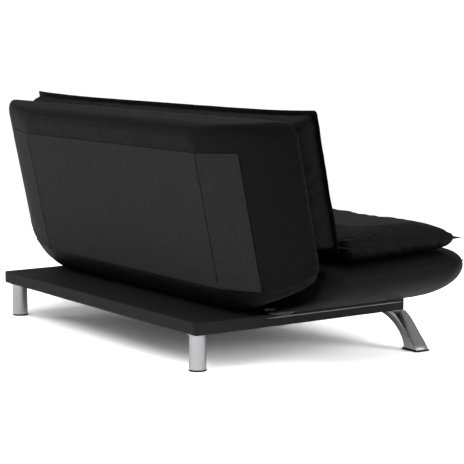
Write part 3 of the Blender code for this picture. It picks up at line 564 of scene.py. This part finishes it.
def build_foam_block(node_name, body, more_at_ends=0.0):
    """Foam of a hull: the CAD block with its skin taken in, so that the covering lies over it."""
    block = new_object(node_name + "_block", frame["nodes"][node_name].data.copy(), FOAM)
    bm = bmesh.new()
    bm.from_mesh(block.data)
    bmesh.ops.remove_doubles(bm, verts=bm.verts, dist=WELD)
    bm.to_mesh(block.data)
    bm.free()
    pushed(block, lambda place, normal: -FOAM_TAKEN_IN - more_at_ends * ease(0.66, 0.80, abs(place.x)))
    block.data.shade_smooth()
    block.data.set_sharp_from_angle(angle=math.radians(40))
    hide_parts(node_name)
    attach(block, body)


# ---------------- seat hull

def well_wall(x, z):
    """How far back the seat may reach here: the wall of the well that the back turns in."""
    share = clamp((abs(x) - WELL[0]) / (WELL[1] - WELL[0]))
    radius = WELL[2] + (WELL[3] - WELL[2]) * share
    if z >= PIVOT.z:
        return PIVOT.y - radius
    below = PIVOT.z - z
    if below >= radius:
        return REAR_Y
    return PIVOT.y - math.sqrt(radius ** 2 - below ** 2)


def seat_ring(z, in_x, in_front, radius):
    """Outline of the seat hull, its rear cut back for the well and its top rising towards the front."""
    x = HALF - in_x
    ring = outline((-x, x), (SEAT_LOW.y + in_front, SEAT_HIGH.y), radius)
    slope = SEAT_RISE * (z - SEAT_LOW.z) / (SEAT_TOP - SEAT_LOW.z)
    level = [(px, min(py, well_wall(px, z))) for px, py in ring]
    return [(px, py, z + slope * (SEAT_PAD_HIGH.y - py)) for px, py in level]


def seat_folds(place, normal):
    """Wrinkles of the seat's covering: faint all over, deeper by the well and low on the belly."""
    rear = ease(0.02, 0.16, place.y)
    low = 1.0 - ease(SEAT_LOW.z, SEAT_LOW.z + 0.09, place.z)
    if abs(normal.z) > 0.97:
        return 0.0
    soft = 0.0010 * ripple(place, 0.16, 3.0) + 0.0005 * ripple(place, 0.05, 9.0)
    pulled = Vector((place.x * 0.6, place.y * 0.6, place.z * 2.2))
    return soft - 0.0016 * crease(pulled, 0.045, 21.0) * clamp(0.35 * low + 0.7 * rear) - 0.0004


def build_seat_hull():
    rings = []
    belly_x = HALF - SEAT_FOOT_X
    belly_y = SEAT_FOOT_FRONT - SEAT_LOW.y
    for angle in quarter_turn(16):
        drawn = 1.0 - math.sin(angle)
        drawn_up = BELLY_TUCK * math.sin(2.0 * angle)
        z = SEAT_WIDEST - (SEAT_WIDEST - SEAT_LOW.z) * math.cos(angle) + drawn_up
        rings.append(seat_ring(z, belly_x * drawn, belly_y * drawn, SEAT_CORNER - 0.10 * drawn))
    for angle in quarter_turn(10)[1:]:
        drawn = SEAT_TOP_ROUND * (1.0 - math.cos(angle))
        z = SEAT_WIDEST + (SEAT_TOP - SEAT_WIDEST) * math.sin(angle)
        rings.append(seat_ring(z, drawn, drawn, SEAT_CORNER - drawn * 0.5))
    hull = lofted("seat_hull", rings, LEATHER)
    slotted(hull, SEAT_SLOTS)
    remeshed(hull, HULL_VOXEL)
    pushed(hull, seat_folds)
    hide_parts("seat_cover")
    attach(hull, "base")


def build_edge_strips():
    """Slim bright strips along the platform's ends, just under the belly of the seat."""
    half_height = 0.0021
    proud = 0.0019
    z = BASE_HIGH.z - STRIP_DROP
    front = BASE_LOW.y + 0.012
    rear = SEAT_HIGH.y - 0.004
    steps = 40
    around = 12
    for side, sign in SIDES.items():
        rows = []
        for step, y in enumerate(spread(rear, front, steps + 1)):
            taper = min(1.0, 0.3 + 10.0 * min(step, steps - step) / steps)
            row = []
            for turn in range(around):
                angle = turn / around * 2 * math.pi
                row.append((sign * (BASE_HIGH.x + proud * math.cos(angle) * taper), y,
                            z + half_height * math.sin(angle) * taper))
            rows.append(row)
        strip = lofted("seat_edge_strip_" + side, rows, STRIP)
        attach(strip, "base")


# ---------------- back hull and lining

def sweep(x):
    """Rise of the back's bottom edge towards its ends."""
    beyond = max(abs(x) - SWEEP_FROM, 0.0) / (HALF - SWEEP_FROM)
    return SWEEP_RISE * beyond ** 1.1


def back_ring(depth):
    """Outline of the back hull at a depth: round at the bottom, its lower edge swept up at the ends."""
    half = spline(BACK_LEVELS, depth, 1)
    top = spline(BACK_LEVELS, depth, 2)
    bottom = -math.sqrt(max(BACK_REAR ** 2 - depth ** 2, 0.0))
    ring = []
    for x, up in outline((-half, half), (bottom, top), BACK_CORNER, 10, 56, 20):
        hang = 1.0 - clamp((up - bottom - BACK_CORNER) / (top - bottom - 2 * BACK_CORNER))
        ring.append(on_back(x, up + sweep(x) * hang, depth))
    return ring


def rear_depth(x):
    """Depth of the rear face at this place along the sofa."""
    face = [(half, depth) for depth, half, _ in BACK_LEVELS]
    if abs(x) <= face[0][0]:
        return -BACK_REAR
    return spline(face, abs(x))


def in_back(place):
    """(up, ahead) of a world point in the back's frame."""
    away = Vector((0.0, place.y - PIVOT.y, place.z - PIVOT.z))
    return away.dot(UP), away.dot(AHEAD)


def back_folds(place, normal):
    """Wrinkles of the back's covering: crescents along the bottom of each end, puckers at the top corners."""
    up, ahead = in_back(place)
    x = abs(place.x)
    if ahead > BACK_FRONT - 0.006:
        return 0.0
    along_lining = x < LINING_HALF + 0.004 and ahead < 0.0
    if along_lining and LINING_BOTTOM - 0.006 < up < LINING_TOP + 0.004:
        return -0.0006
    soft = 0.0009 * ripple(place, 0.20, 5.0) + 0.0004 * ripple(place, 0.06, 1.0)
    above = up + math.sqrt(max(BACK_REAR ** 2 - ahead ** 2, 0.0)) - sweep(x)
    end = ease(0.66, 0.80, x)
    near_bottom = end * (1.0 - ease(0.030, 0.110, above)) * ease(-0.07, -0.03, ahead)
    wander = 0.006 * ripple(place, 0.11, 13.0)
    crescents = 0.0026 * math.sin((above + wander) / 0.021 * 2 * math.pi) * near_bottom
    corner = ease(0.80, 0.90, x) * ease(BACK_HEIGHT - 0.08, BACK_HEIGHT - 0.02, up)
    pucker = -0.0014 * crease(place, 0.026, 31.0) * corner
    band = -0.0007 * crease(Vector((place.x * 0.7, place.y, place.z * 2.0)), 0.09, 17.0)
    return soft + crescents + pucker + band * (1.0 - end) + 0.0003


def build_back_hull():
    steps = 40
    depths = [-BACK_REAR + (BACK_FRONT + BACK_REAR) * (1 - math.cos(step / steps * math.pi)) / 2
              for step in range(steps + 1)]
    hull = lofted("back_hull", [back_ring(depth) for depth in depths], LEATHER)
    stand = Matrix.Translation(PIVOT) @ Matrix.Rotation(-TILT, 4, "X")
    slotted(hull, BACK_SLOTS, stand)
    remeshed(hull, HULL_VOXEL)
    pushed(hull, back_folds)
    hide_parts("back_cover")
    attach(hull, "back")
    return hull


def lining_panel(name, x_range, hem):
    """A lining panel laid on the rear face, its edges rolled under, with a turned hem along its bottom."""
    columns = max(int((x_range[1] - x_range[0]) / LINING_CELL), 12)
    bm = bmesh.new()
    outer, inner = [], []
    for up in spread(LINING_BOTTOM, LINING_TOP, 61):
        line_out, line_in = [], []
        for x in spread(*x_range, columns + 1):
            edge = min(x - x_range[0], x_range[1] - x, up - LINING_BOTTOM, LINING_TOP - up)
            rolled = ease(-0.0005, 0.005, edge)
            place = on_back(x, up, rear_depth(x))
            slack = 0.0011 * ripple(place, 0.17, 41.0) + 0.0004 * ripple(place, 0.05, 44.0)
            drawn = 0.0014 * math.exp(-edge / 0.012) * abs(ripple(place, 0.022, 47.0))
            fold = hem * math.exp(-((up - LINING_BOTTOM - 0.009) / 0.006) ** 2)
            groove = -0.5 * hem * math.exp(-((up - LINING_BOTTOM - 0.026) / 0.004) ** 2)
            lift = LINING_THICK * (0.35 + 0.65 * rolled) + 0.0011 + slack * rolled + drawn + fold + groove
            line_out.append(bm.verts.new(on_back(x, up, rear_depth(x) - max(lift, 0.0009))))
            line_in.append(bm.verts.new(on_back(x, up, rear_depth(x) - 0.0002)))
        outer.append(line_out)
        inner.append(line_in)
    two_sided(bm, outer, inner)
    panel = from_bmesh(name, bm, LINING, 50)
    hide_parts(name.replace("panel", "lining"))
    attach(panel, "back")
    face = [on_back(x, 0.0, rear_depth(x)) for x in spread(*x_range, 41)]
    arc_length = sum((start - end).length for start, end in zip(face, face[1:]))


def build_lining(hull):
    """Middle panel and the two side panels, a narrow groove between them."""
    seam = 0.0022
    lining_panel("back_panel", (-LINING_SEAM + seam, LINING_SEAM - seam), 0.0008)
    for side, sign in SIDES.items():
        reach = sorted((sign * (LINING_SEAM + seam), sign * LINING_HALF))
        lining_panel("back_panel_side_" + side, reach, 0.0034)


# ---------------- pads

def pad_place(kind, x, across, up):
    """World place of a pad point: across from its rear or lower edge, up from its underside."""
    if kind == "seat":
        _, _, seam, _ = pad_facts(kind)
        under = SEAT_RISE * across * max(1.0 - up / seam, 0.0)
        return Vector((x, SEAT_PAD_HIGH.y - across, SEAT_PAD_BOTTOM + under + up))
    return on_back(x, BACK_PAD[0] + across, BACK_FRONT + PAD_GAP + up)


def pad_facts(kind):
    """Length across, thickness, height of the seam and sag of the seam line."""
    if kind == "seat":
        thick = SEAT_PAD_HIGH.z - SEAT_PAD_BOTTOM
        return SEAT_PAD_HIGH.y - SEAT_PAD_LOW.y, thick, thick * SEAT_PAD_SEAM, 0.0
    return BACK_PAD[1] - BACK_PAD[0], BACK_PAD_THICK, BACK_PAD_THICK * BACK_PAD_SEAM, BACK_PAD_SAG


def pad_ring(kind, drawn, up):
    """Outline of a pad, drawn in from its seam, at a height over its underside.

    The top edge hangs a little between the corners, which stand up.
    """
    length, _, _, sag = pad_facts(kind)
    x = PAD_HALF - PAD_FLANGE - drawn
    low = PAD_FLANGE + drawn
    high = length - PAD_FLANGE - drawn
    ring = outline((-x, x), (low, high), PAD_CORNER + clamp(drawn * 0.7, -0.013, 0.060), 8, 72, 20)
    points = []
    for px, across in ring:
        pull = 0.0
        if across < length / 2:
            pull = 0.004 * math.sqrt(max(1.0 - (px / PAD_HALF) ** 2, 0.0))
        top = ease(length * 0.5, length, across)
        hang = sag * (1.0 - abs(px / PAD_HALF) ** 5) * top
        points.append(pad_place(kind, px, across + pull - hang, up))
    return points


def above_underside(kind, place):
    """Height of a point over the pad's lowest level."""
    if kind == "seat":
        return place.z - SEAT_PAD_BOTTOM
    return in_back(place)[1] - BACK_FRONT - PAD_GAP


def under_rise(kind, place):
    """Height of the pad's own underside over its lowest level."""
    return SEAT_RISE * (SEAT_PAD_HIGH.y - place.y) if kind == "seat" else 0.0


def pinned(kind, place):
    """How firmly the sewn seam and the underside hold a point of the pad."""
    seam = pad_facts(kind)[2]
    up = above_underside(kind, place)
    at_seam = 1.0 - ease(0.004, 0.016, abs(up - seam))
    if up < 0.006 + under_rise(kind, place):
        return 1.0
    return clamp(at_seam * on_rim(kind, place))


def on_rim(kind, place):
    """1 along the pad's rim, fading to 0 a little way in."""
    length = pad_facts(kind)[0]
    across = SEAT_PAD_HIGH.y - place.y if kind == "seat" else in_back(place)[0] - BACK_PAD[0]
    edge = min(PAD_HALF - abs(place.x), across, length - across)
    return 1.0 - ease(PAD_FLANGE + 0.010, PAD_FLANGE + 0.024, edge)


def inflate(pad, kind):
    """Cloth simulation: the sewn cover fills out between its seam and its underside."""
    start = [vertex.co.copy() for vertex in pad.data.vertices]
    group = pad.vertex_groups.new(name="sewn")
    for vertex in pad.data.vertices:
        hold = pinned(kind, vertex.co)
        if hold > 0.01:
            group.add([vertex.index], hold, "REPLACE")
    step = pad.modifiers.new("cloth", "CLOTH")
    cloth = step.settings
    for name, value in CLOTH.items():
        setattr(cloth, name, value)
    cloth.effector_weights.gravity = 0.0
    step.collision_settings.use_collision = False
    step.point_cache.frame_start = 1
    step.point_cache.frame_end = SIM_FRAMES
    scene = bpy.context.scene
    scene.frame_start = 1
    scene.frame_end = SIM_FRAMES
    for number in range(1, SIM_FRAMES + 1):
        scene.frame_set(number)
    applied(pad)
    scene.frame_set(1)
    for vertex, was in zip(pad.data.vertices, start):
        moved = vertex.co - was
        if moved.length > SIM_LIMIT:
            vertex.co = was + moved * (SIM_LIMIT / moved.length)


def pad_gathers(kind):
    """Small gathers that run in from the seam, and soft dents over the crown."""
    seam = pad_facts(kind)[2]

    def amount(place, normal):
        up = above_underside(kind, place)
        if up < 0.008 + under_rise(kind, place):
            return 0.0
        near = math.exp(-abs(up - seam) / 0.020) * on_rim(kind, place)
        run = Vector((place.x, place.y * 1.4, place.z * (1.0 if kind == "back" else 0.2)))
        gather = 0.0024 * ripple(run, 0.030, 7.0) * near
        dent = 0.0022 * ripple(place, 0.21, 11.0 if kind == "seat" else 27.0)
        return gather + dent - 0.0012 * crease(place, 0.12, 15.0)

    return amount


def build_pad(kind, body):
    """A pillow-top pad with its foam, flange and zip."""
    _, thick, seam, _ = pad_facts(kind)
    rows = [(0.048, 0.0), (0.030, seam * 0.10), (0.016, seam * 0.30), (0.007, seam * 0.58),
            (0.002, seam * 0.84), (0.0, seam - 0.002), (0.0, seam + 0.002)]
    crown = thick - seam - 0.010
    for drawn, share in ((0.002, 0.20), (0.006, 0.40), (0.014, 0.62), (0.028, 0.81), (0.050, 0.93),
                         (0.085, 0.985), (0.140, 1.0)):
        rows.append((drawn, seam + crown * share))
    name = kind + "_pad"
    pad = lofted(name, [pad_ring(kind, drawn, up) for drawn, up in rows], LEATHER)
    remeshed(pad, PAD_VOXEL, 3)
    inflate(pad, kind)
    finer = pad.modifiers.new("finer", "SUBSURF")
    finer.levels = 1
    finer.render_levels = 1
    applied(pad)
    pushed(pad, pad_gathers(kind))
    pad.data.shade_smooth()
    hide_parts(kind + "_pad_cover")
    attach(pad, body)
    build_core(pad, kind, body)
    build_flange(kind, body)
    build_zip(pad, kind, body)


def build_core(pad, kind, body):
    """The pad's foam, just inside its cover."""
    core = new_object(kind + "_pad_foam", pad.data.copy(), FOAM)
    thinner = core.modifiers.new("thinner", "DECIMATE")
    thinner.ratio = 0.25
    applied(core)
    pushed(core, lambda place, normal: -CORE_TAKEN_IN)
    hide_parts(kind + "_pad_core")
    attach(core, body)


def flange_wave(place):
    """Waviness of the flange's free edge."""
    return 0.0022 * ripple(place, 0.07, 51.0) + 0.0010 * ripple(place, 0.025, 57.0)


def build_flange(kind, body):
    """The sewn flange round the pad with its line of stitches."""
    seam = pad_facts(kind)[2]
    under = [(0.006, -0.0022), (-0.004, -0.0017), (-0.0100, -0.0015), (-0.0122, -0.0009)]
    section = under + [(-0.0128, 0.0)] + [(drawn, -lift) for drawn, lift in reversed(under)]
    tracks = [pad_ring(kind, drawn, seam + lift) for drawn, lift in section]
    lift_way = Vector((0.0, 0.0, 1.0)) if kind == "seat" else AHEAD
    bm = bmesh.new()
    rows = []
    for (drawn, _), track in zip(section, tracks):
        loose = clamp(-drawn / 0.012)
        rows.append([bm.verts.new(point + lift_way * (flange_wave(point) * loose)) for point in track])
    count = len(rows[0])
    for index in range(len(rows)):
        low, high = rows[index], rows[(index + 1) % len(rows)]
        for spot in range(count):
            after = (spot + 1) % count
            bm.faces.new((low[spot], low[after], high[after], high[spot]))
    flange = from_bmesh(kind + "_pad_flange", bm, LEATHER, 60)
    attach(flange, body)
    build_stitches(kind, body, pad_ring(kind, -0.0045, seam), lift_way)


def build_stitches(kind, body, track, lift_way):
    """A row of stitches through the flange, along its track."""
    pitch = 0.009
    stitch = 0.0058
    half_high = 0.0023
    half_wide = 0.0005
    bm = bmesh.new()
    carried = 0.0
    for start, end in zip(track, track[1:] + track[:1]):
        run = end - start
        along = run.normalized()
        side = along.cross(lift_way).normalized()
        spot = carried
        while spot + stitch < run.length:
            middle = start + along * (spot + stitch / 2)
            middle += lift_way * (flange_wave(middle) * 0.35)
            turn = Matrix((along, side, lift_way)).transposed().to_4x4()
            add_box(bm, (stitch, 2 * half_wide, 2 * half_high), middle, turn)
            spot += pitch
        carried = max(spot - run.length, 0.0)
    thread = from_bmesh(kind + "_pad_stitches", bm, THREAD, 40)
    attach(thread, body)


def build_zip(pad, kind, body):
    """Zip in the hidden edge of the pad: two tapes, a row of teeth and a slider, laid on the cover."""
    tree = BVHTree.FromObject(pad, bpy.context.evaluated_depsgraph_get())
    level = pad_facts(kind)[1] * ZIP_LEVEL
    look_way = Vector((0.0, -1.0, 0.0)) if kind == "seat" else UP
    rise = Vector((0.0, 0.0, 1.0)) if kind == "seat" else AHEAD
    turn = Matrix((Vector((1, 0, 0)), look_way, rise)).transposed().to_4x4()

    def on_cover(x, up):
        away = pad_place(kind, x, -0.05, up)
        hit = tree.ray_cast(away, look_way)[0]
        return (hit or pad_place(kind, x, 0.02, up)) - look_way * 0.0006

    tape = bmesh.new()
    for edges in ((-0.0125, -0.0012), (0.0012, 0.0125)):
        lines = [[on_cover(x, level + up) for x in spread(-ZIP_HALF, ZIP_HALF, 81)] for up in edges]
        two_sided(tape, *([[tape.verts.new(point + look_way * depth) for point in line] for line in lines]
                          for depth in (0.0, ZIP_TAPE_THICK)))
    band = from_bmesh(kind + "_pad_zip_tape", tape, TAPE, 40)
    teeth = bmesh.new()
    pitch = 0.005
    for number in range(int(2 * ZIP_HALF / pitch)):
        x = -ZIP_HALF + (number + 0.5) * pitch
        lean = 0.0007 * (1 if number % 2 else -1)
        add_box(teeth, (0.0028, 0.0016, 0.0034), on_cover(x, level) + rise * lean, turn)
    row = from_bmesh(kind + "_pad_zip_teeth", teeth, PLASTIC, 40)
    slider = bmesh.new()
    seat = on_cover(ZIP_HALF - 0.012, level) - look_way * 0.0014
    for (along, away), size in (((0.0, 0.0), (0.010, 0.0030, 0.0080)),
                                ((-0.016, -0.0006), (0.026, 0.0014, 0.0052))):
        add_box(slider, size, seat + Vector((along, 0.0, 0.0)) + look_way * away, turn)
    bmesh.ops.bevel(slider, geom=slider.edges[:], offset=0.0005, segments=2, affect="EDGES")
    pull = from_bmesh(kind + "_pad_zip_slider", slider, STEEL, 40)
    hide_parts(kind + "_pad_zip")
    for piece, finish in ((band, "zip_tape"), (row, "zip_tape"), (pull, "bright_steel")):
        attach(piece, body)


# ---------------- base

def base_ring(z, inset):
    x = BASE_HIGH.x - inset
    y = (BASE_LOW.y + inset, BASE_HIGH.y - inset)
    ring = outline((-x, x), y, max(BASE_CORNER - inset, 0.004), 6, 40, 28)
    return [Vector((px, py, z)) for px, py in ring]


def build_base_wrap():
    """The vinyl wrap of the platform, with soft edges, folds at the corners and a turned-under margin."""
    soft = WRAP_EDGE
    low, high = BASE_LOW.z, BASE_HIGH.z
    rings = [base_ring(low + 0.0010, WRAP_MARGIN + 0.0004), base_ring(low, WRAP_MARGIN)]
    for angle in quarter_turn(5):
        rings.append(base_ring(low + soft * (1 - math.cos(angle)), soft * (1 - math.sin(angle))))
    for share in (0.2, 0.35, 0.5, 0.65, 0.8):
        rings.append(base_ring(low + soft + (high - low - 2 * soft) * share, 0.0))
    for angle in quarter_turn(5):
        rings.append(base_ring(high - soft * (1 - math.sin(angle)), soft * (1 - math.cos(angle))))
    for inset in (0.012, 0.03, 0.06, 0.10, 0.16, 0.24, 0.34):
        rings.append(base_ring(high, inset))
    wrap = lofted("base_wrap", rings, WRAP, sharp=50)

    def amount(place, normal):
        flat = abs(normal.z) > 0.9
        corner = 1.0 - ease(0.02, 0.07, min(BASE_HIGH.x - abs(place.x), 0.2)
                            + min(BASE_HIGH.y - place.y, place.y - BASE_LOW.y, 0.2))
        fold = 0.0007 * ripple(Vector((place.x, place.y, 0.0)), 0.010, 61.0) * corner
        return 0.0 if flat else fold + 0.0003 * ripple(place, 0.12, 63.0) - 0.0002

    pushed(wrap, amount)
    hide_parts("base_cover")
    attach(wrap, "base")


def build_dust_cloth():
    """Dust cloth stapled under the platform, with no staples over the legs' plates."""
    x = BASE_HIGH.x - CLOTH_INSET
    y = (BASE_LOW.y + CLOTH_INSET, BASE_HIGH.y - CLOTH_INSET)
    low = BASE_LOW.z - 0.0001
    bm = bmesh.new()
    grids = [[[bm.verts.new((px, py, low + lift)) for px in spread(-x, x, 65)] for py in spread(*y, 41)]
             for lift in (0.0, 0.0006)]
    two_sided(bm, *grids)
    cloth = from_bmesh("base_dust_cloth", bm, DUST, 50)
    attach(cloth, "base")
    staples = bmesh.new()
    margin = 0.008
    track = [(px, py, 0) for py in (y[0] + margin, y[1] - margin) for px in spread(-x + 0.03, x - 0.03, 20)]
    track += [(px, py, 1) for px in (-x + margin, x - margin) for py in spread(y[0] + 0.06, y[1] - 0.06, 12)]
    for px, py, upright in track:
        over_rear_leg = abs(abs(px) - 0.6) < 0.075 and py > BASE_HIGH.y - 0.10
        over_front_leg = abs(px) > BASE_HIGH.x - 0.13 and py < BASE_LOW.y + 0.08
        if not over_rear_leg and not over_front_leg:
            size = (0.0012, 0.011, 0.0008) if upright else (0.011, 0.0012, 0.0008)
            add_box(staples, size, (px, py, low - 0.0002))
    bmesh.ops.bevel(staples, geom=staples.edges[:], offset=0.0002, segments=1, affect="EDGES")
    pins = from_bmesh("base_staples", staples, STEEL, 40)
    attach(pins, "base")


# ---------------- legs

def smooth_run(points, parts=6):
    """A run of points with a smooth curve put through it."""
    made = []
    for index in range(len(points) - 1):
        p0 = points[max(index - 1, 0)]
        p1, p2 = points[index], points[index + 1]
        p3 = points[min(index + 2, len(points) - 1)]
        for step in range(parts):
            u = step / parts
            made.append(tuple(
                0.5 * (2 * b + (c - a) * u + (2 * a - 5 * b + 4 * c - d) * u * u
                       + (3 * b - a - 3 * c + d) * u ** 3)
                for a, b, c, d in zip(p0, p1, p2, p3)))
    return made + [points[-1]]


def build_front_legs():
    """Curved blade legs with eased edges, welded under a mounting plate."""
    leg_low, leg_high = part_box("front_leg_left")
    foot, top = leg_low.z, leg_high.z - 0.0015
    middle_y = (leg_low.y + leg_high.y) / 2
    width = leg_high.y - leg_low.y
    half = BASE_HIGH.x
    eased = FRONT_LEG_EDGE
    outer = smooth_run([(0.004, top), (0.026, 0.1045), (0.051, 0.0815), (0.075, 0.0565), (0.095, 0.0360),
                        (0.112, 0.0185), (0.121, foot)])
    inner = smooth_run([(0.058, foot), (0.056, 0.0200), (0.0455, 0.0407), (0.031, 0.0580), (0.012, 0.0750),
                        (-0.012, 0.0900), (-0.045, 0.1040), (-0.092, top - 0.004)]) + [(-0.092, top)]
    for side, sign in SIDES.items():
        curve = bpy.data.curves.new("front_leg_blade", "CURVE")
        curve.dimensions = "2D"
        curve.fill_mode = "BOTH"
        curve.extrude = width / 2 - eased
        curve.bevel_depth = eased
        curve.bevel_resolution = 2
        curve.offset = -eased
        line = curve.splines.new("POLY")
        points = outer + inner
        line.points.add(len(points) - 1)
        for point, (out, z) in zip(line.points, points):
            point.co = (half + out, z, 0.0, 1.0)
        line.use_cyclic_u = True
        drawn = new_object("blade", curve)
        flat = evaluated_mesh(drawn)
        bpy.data.objects.remove(drawn, do_unlink=True)
        bm = bmesh.new()
        bm.from_mesh(flat)
        bpy.data.meshes.remove(flat)
        bmesh.ops.remove_doubles(bm, verts=bm.verts, dist=WELD)
        bm.transform(Matrix(((sign, 0, 0, 0), (0, 0, 1, middle_y), (0, 1, 0, 0), (0, 0, 0, 1))))
        add_box(bm, (0.113, width, 0.003), (sign * (half - 0.0585), middle_y, leg_high.z - 0.0015))
        leg = from_bmesh("front_leg_blade_" + side, bm, CHROME, 32)
        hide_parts("front_leg_" + side)
        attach(leg, "base")
        build_front_glide(side)


def build_front_glide(side):
    """Moulded glide under a front leg, its edges eased."""
    low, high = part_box("front_glide_" + side)
    bm = bmesh.new()
    add_box(bm, high - low, (low + high) / 2)
    upright = [edge for edge in bm.edges if abs(edge.verts[0].co.z - edge.verts[1].co.z) > 0.001]
    bmesh.ops.bevel(bm, geom=upright, offset=0.006, segments=4, affect="EDGES")
    rims = [edge for edge in bm.edges if len({round(v.co.z, 5) for v in edge.verts}) == 1
            and any(abs(face.normal.z) < 0.5 for face in edge.link_faces)]
    bmesh.ops.bevel(bm, geom=rims, offset=0.0009, segments=2, affect="EDGES")
    glide = from_bmesh("front_glide_pad_" + side, bm, PLASTIC, 40)
    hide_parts("front_glide_" + side)
    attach(glide, "base")


def turned(name, profile, x, y, look):
    """A lathed piece about an upright axis, from its profile of radius and height."""
    segments = 64
    rings = []
    for radius, z in profile:
        rings.append([(x + radius * math.cos(2 * math.pi * k / segments),
                       y + radius * math.sin(2 * math.pi * k / segments), z) for k in range(segments)])
    return lofted(name, rings, look, sharp=32)


def build_rear_legs():
    """Straight tubes with a round mounting plate, each on its glide."""
    for side in SIDES:
        low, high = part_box("rear_leg_" + side)
        glide_low, glide_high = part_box("rear_glide_" + side)
        x, y = (low.x + high.x) / 2, (low.y + high.y) / 2
        plate_radius = (high.x - low.x) / 2
        radius = REAR_LEG_RADIUS
        top = high.z
        leg = turned("rear_leg_tube_" + side, [
            (radius - 0.0012, low.z), (radius - 0.0003, low.z + 0.0004), (radius, low.z + 0.0012),
            (radius, top - 0.0070), (radius + 0.0006, top - 0.0048), (radius + 0.0022, top - 0.0034),
            (plate_radius - 0.0008, top - 0.0030), (plate_radius, top - 0.0022), (plate_radius, top - 0.0006),
            (plate_radius - 0.0006, top)], x, y, CHROME)
        wide = (glide_high.x - glide_low.x) / 2
        glide = turned("rear_glide_cap_" + side, [
            (wide - 0.0030, glide_low.z), (wide - 0.0010, glide_low.z + 0.0006), (wide, glide_low.z + 0.0020),
            (wide, glide_high.z - 0.0012), (wide - 0.0012, glide_high.z)], x, y, PLASTIC)
        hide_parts("rear_leg_" + side)
        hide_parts("rear_glide_" + side)
        for piece, finish in ((leg, "satin_chrome"), (glide, "black_plastic")):
            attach(piece, "base")


# ---------------- camera, light and floor

def by_ray(tree, lighting, mirrored, seen):
    """A value that differs for lighting, for mirror images and for what the camera sees."""
    path = node(tree, "ShaderNodeLightPath")
    hidden = ranged(tree, path.outputs["Is Glossy Ray"], lighting, mirrored)
    made = node(tree, "ShaderNodeMapRange", To_Max=seen)
    tree.links.new(path.outputs["Is Camera Ray"], made.inputs["Value"])
    tree.links.new(hidden, made.inputs["To Min"])
    return made.outputs["Result"]


def floor_paint():
    """Pale studio floor, exposed brighter than the object and fading to the white backdrop."""
    look = bpy.data.materials.new("floor_paint")
    look.use_nodes = True
    tree = look.node_tree
    tree.nodes.clear()
    lit = node(tree, "ShaderNodeBsdfDiffuse")
    tree.links.new(by_ray(tree, FLOOR_TONE, FLOOR_MIRRORED, FLOOR_GAIN), lit.inputs["Color"])
    white = node(tree, "ShaderNodeEmission", Strength=BACKDROP)
    reach = node(tree, "ShaderNodeVectorMath", _operation="LENGTH")
    tree.links.new(placed(tree), reach.inputs[0])
    fade = node(tree, "ShaderNodeMapRange", From_Min=FLOOR_FADE[0], From_Max=FLOOR_FADE[1])
    tree.links.new(reach.outputs["Value"], fade.inputs["Value"])
    path = node(tree, "ShaderNodeLightPath")
    only_seen = combined(tree, "MULTIPLY", fade.outputs["Result"], path.outputs["Is Camera Ray"])
    blend = node(tree, "ShaderNodeMixShader")
    tree.links.new(only_seen, blend.inputs["Fac"])
    tree.links.new(lit.outputs[0], blend.inputs[1])
    tree.links.new(white.outputs[0], blend.inputs[2])
    out = node(tree, "ShaderNodeOutputMaterial")
    tree.links.new(blend.outputs[0], out.inputs["Surface"])
    return look


def build_stage():
    """Camera at the sofa's rear corner, white backdrop, pale floor and four soft lights."""
    scene = bpy.context.scene
    scene.view_settings.view_transform = "Standard"
    camera = new_object("camera", bpy.data.cameras.new("camera"))
    aimed(camera, CAMERA_PLACE, Vector(CAMERA_AHEAD))
    camera.data.sensor_width = 36.0
    camera.data.lens = 126.2
    camera.data.clip_end = 200.0
    scene.camera = camera

    world = bpy.data.worlds.new("studio")
    scene.world = world
    world.use_nodes = True
    tree = world.node_tree
    background = tree.nodes["Background"]
    tree.links.new(by_ray(tree, WORLD_FILL, WORLD_MIRRORED, BACKDROP), background.inputs["Strength"])
    background.inputs["Color"].default_value = (1.0, 1.0, 1.0, 1.0)

    floor = bmesh.new()
    bmesh.ops.create_grid(floor, x_segments=1, y_segments=1, size=20.0)
    ground = from_bmesh("floor", floor, floor_paint())
    ground.location.z = -0.0002

    for name, place, aim, size, power in LIGHTS:
        lamp = bpy.data.lights.new(name, "AREA")
        lamp.shape = "RECTANGLE"
        lamp.size, lamp.size_y = size
        lamp.energy = power
        aimed(new_object(name, lamp), place, Vector(aim) - Vector(place))


# ---------------- build

dress_cad_nodes()
build_stage()
build_seat_hull()
build_edge_strips()
build_lining(build_back_hull())
build_foam_block("seat_foam", "base", FOAM_MORE_AT_ENDS)
build_foam_block("back_foam", "back")
build_pad("seat", "base")
build_pad("back", "back")
build_base_wrap()
build_dust_cloth()
build_front_legs()
build_rear_legs()
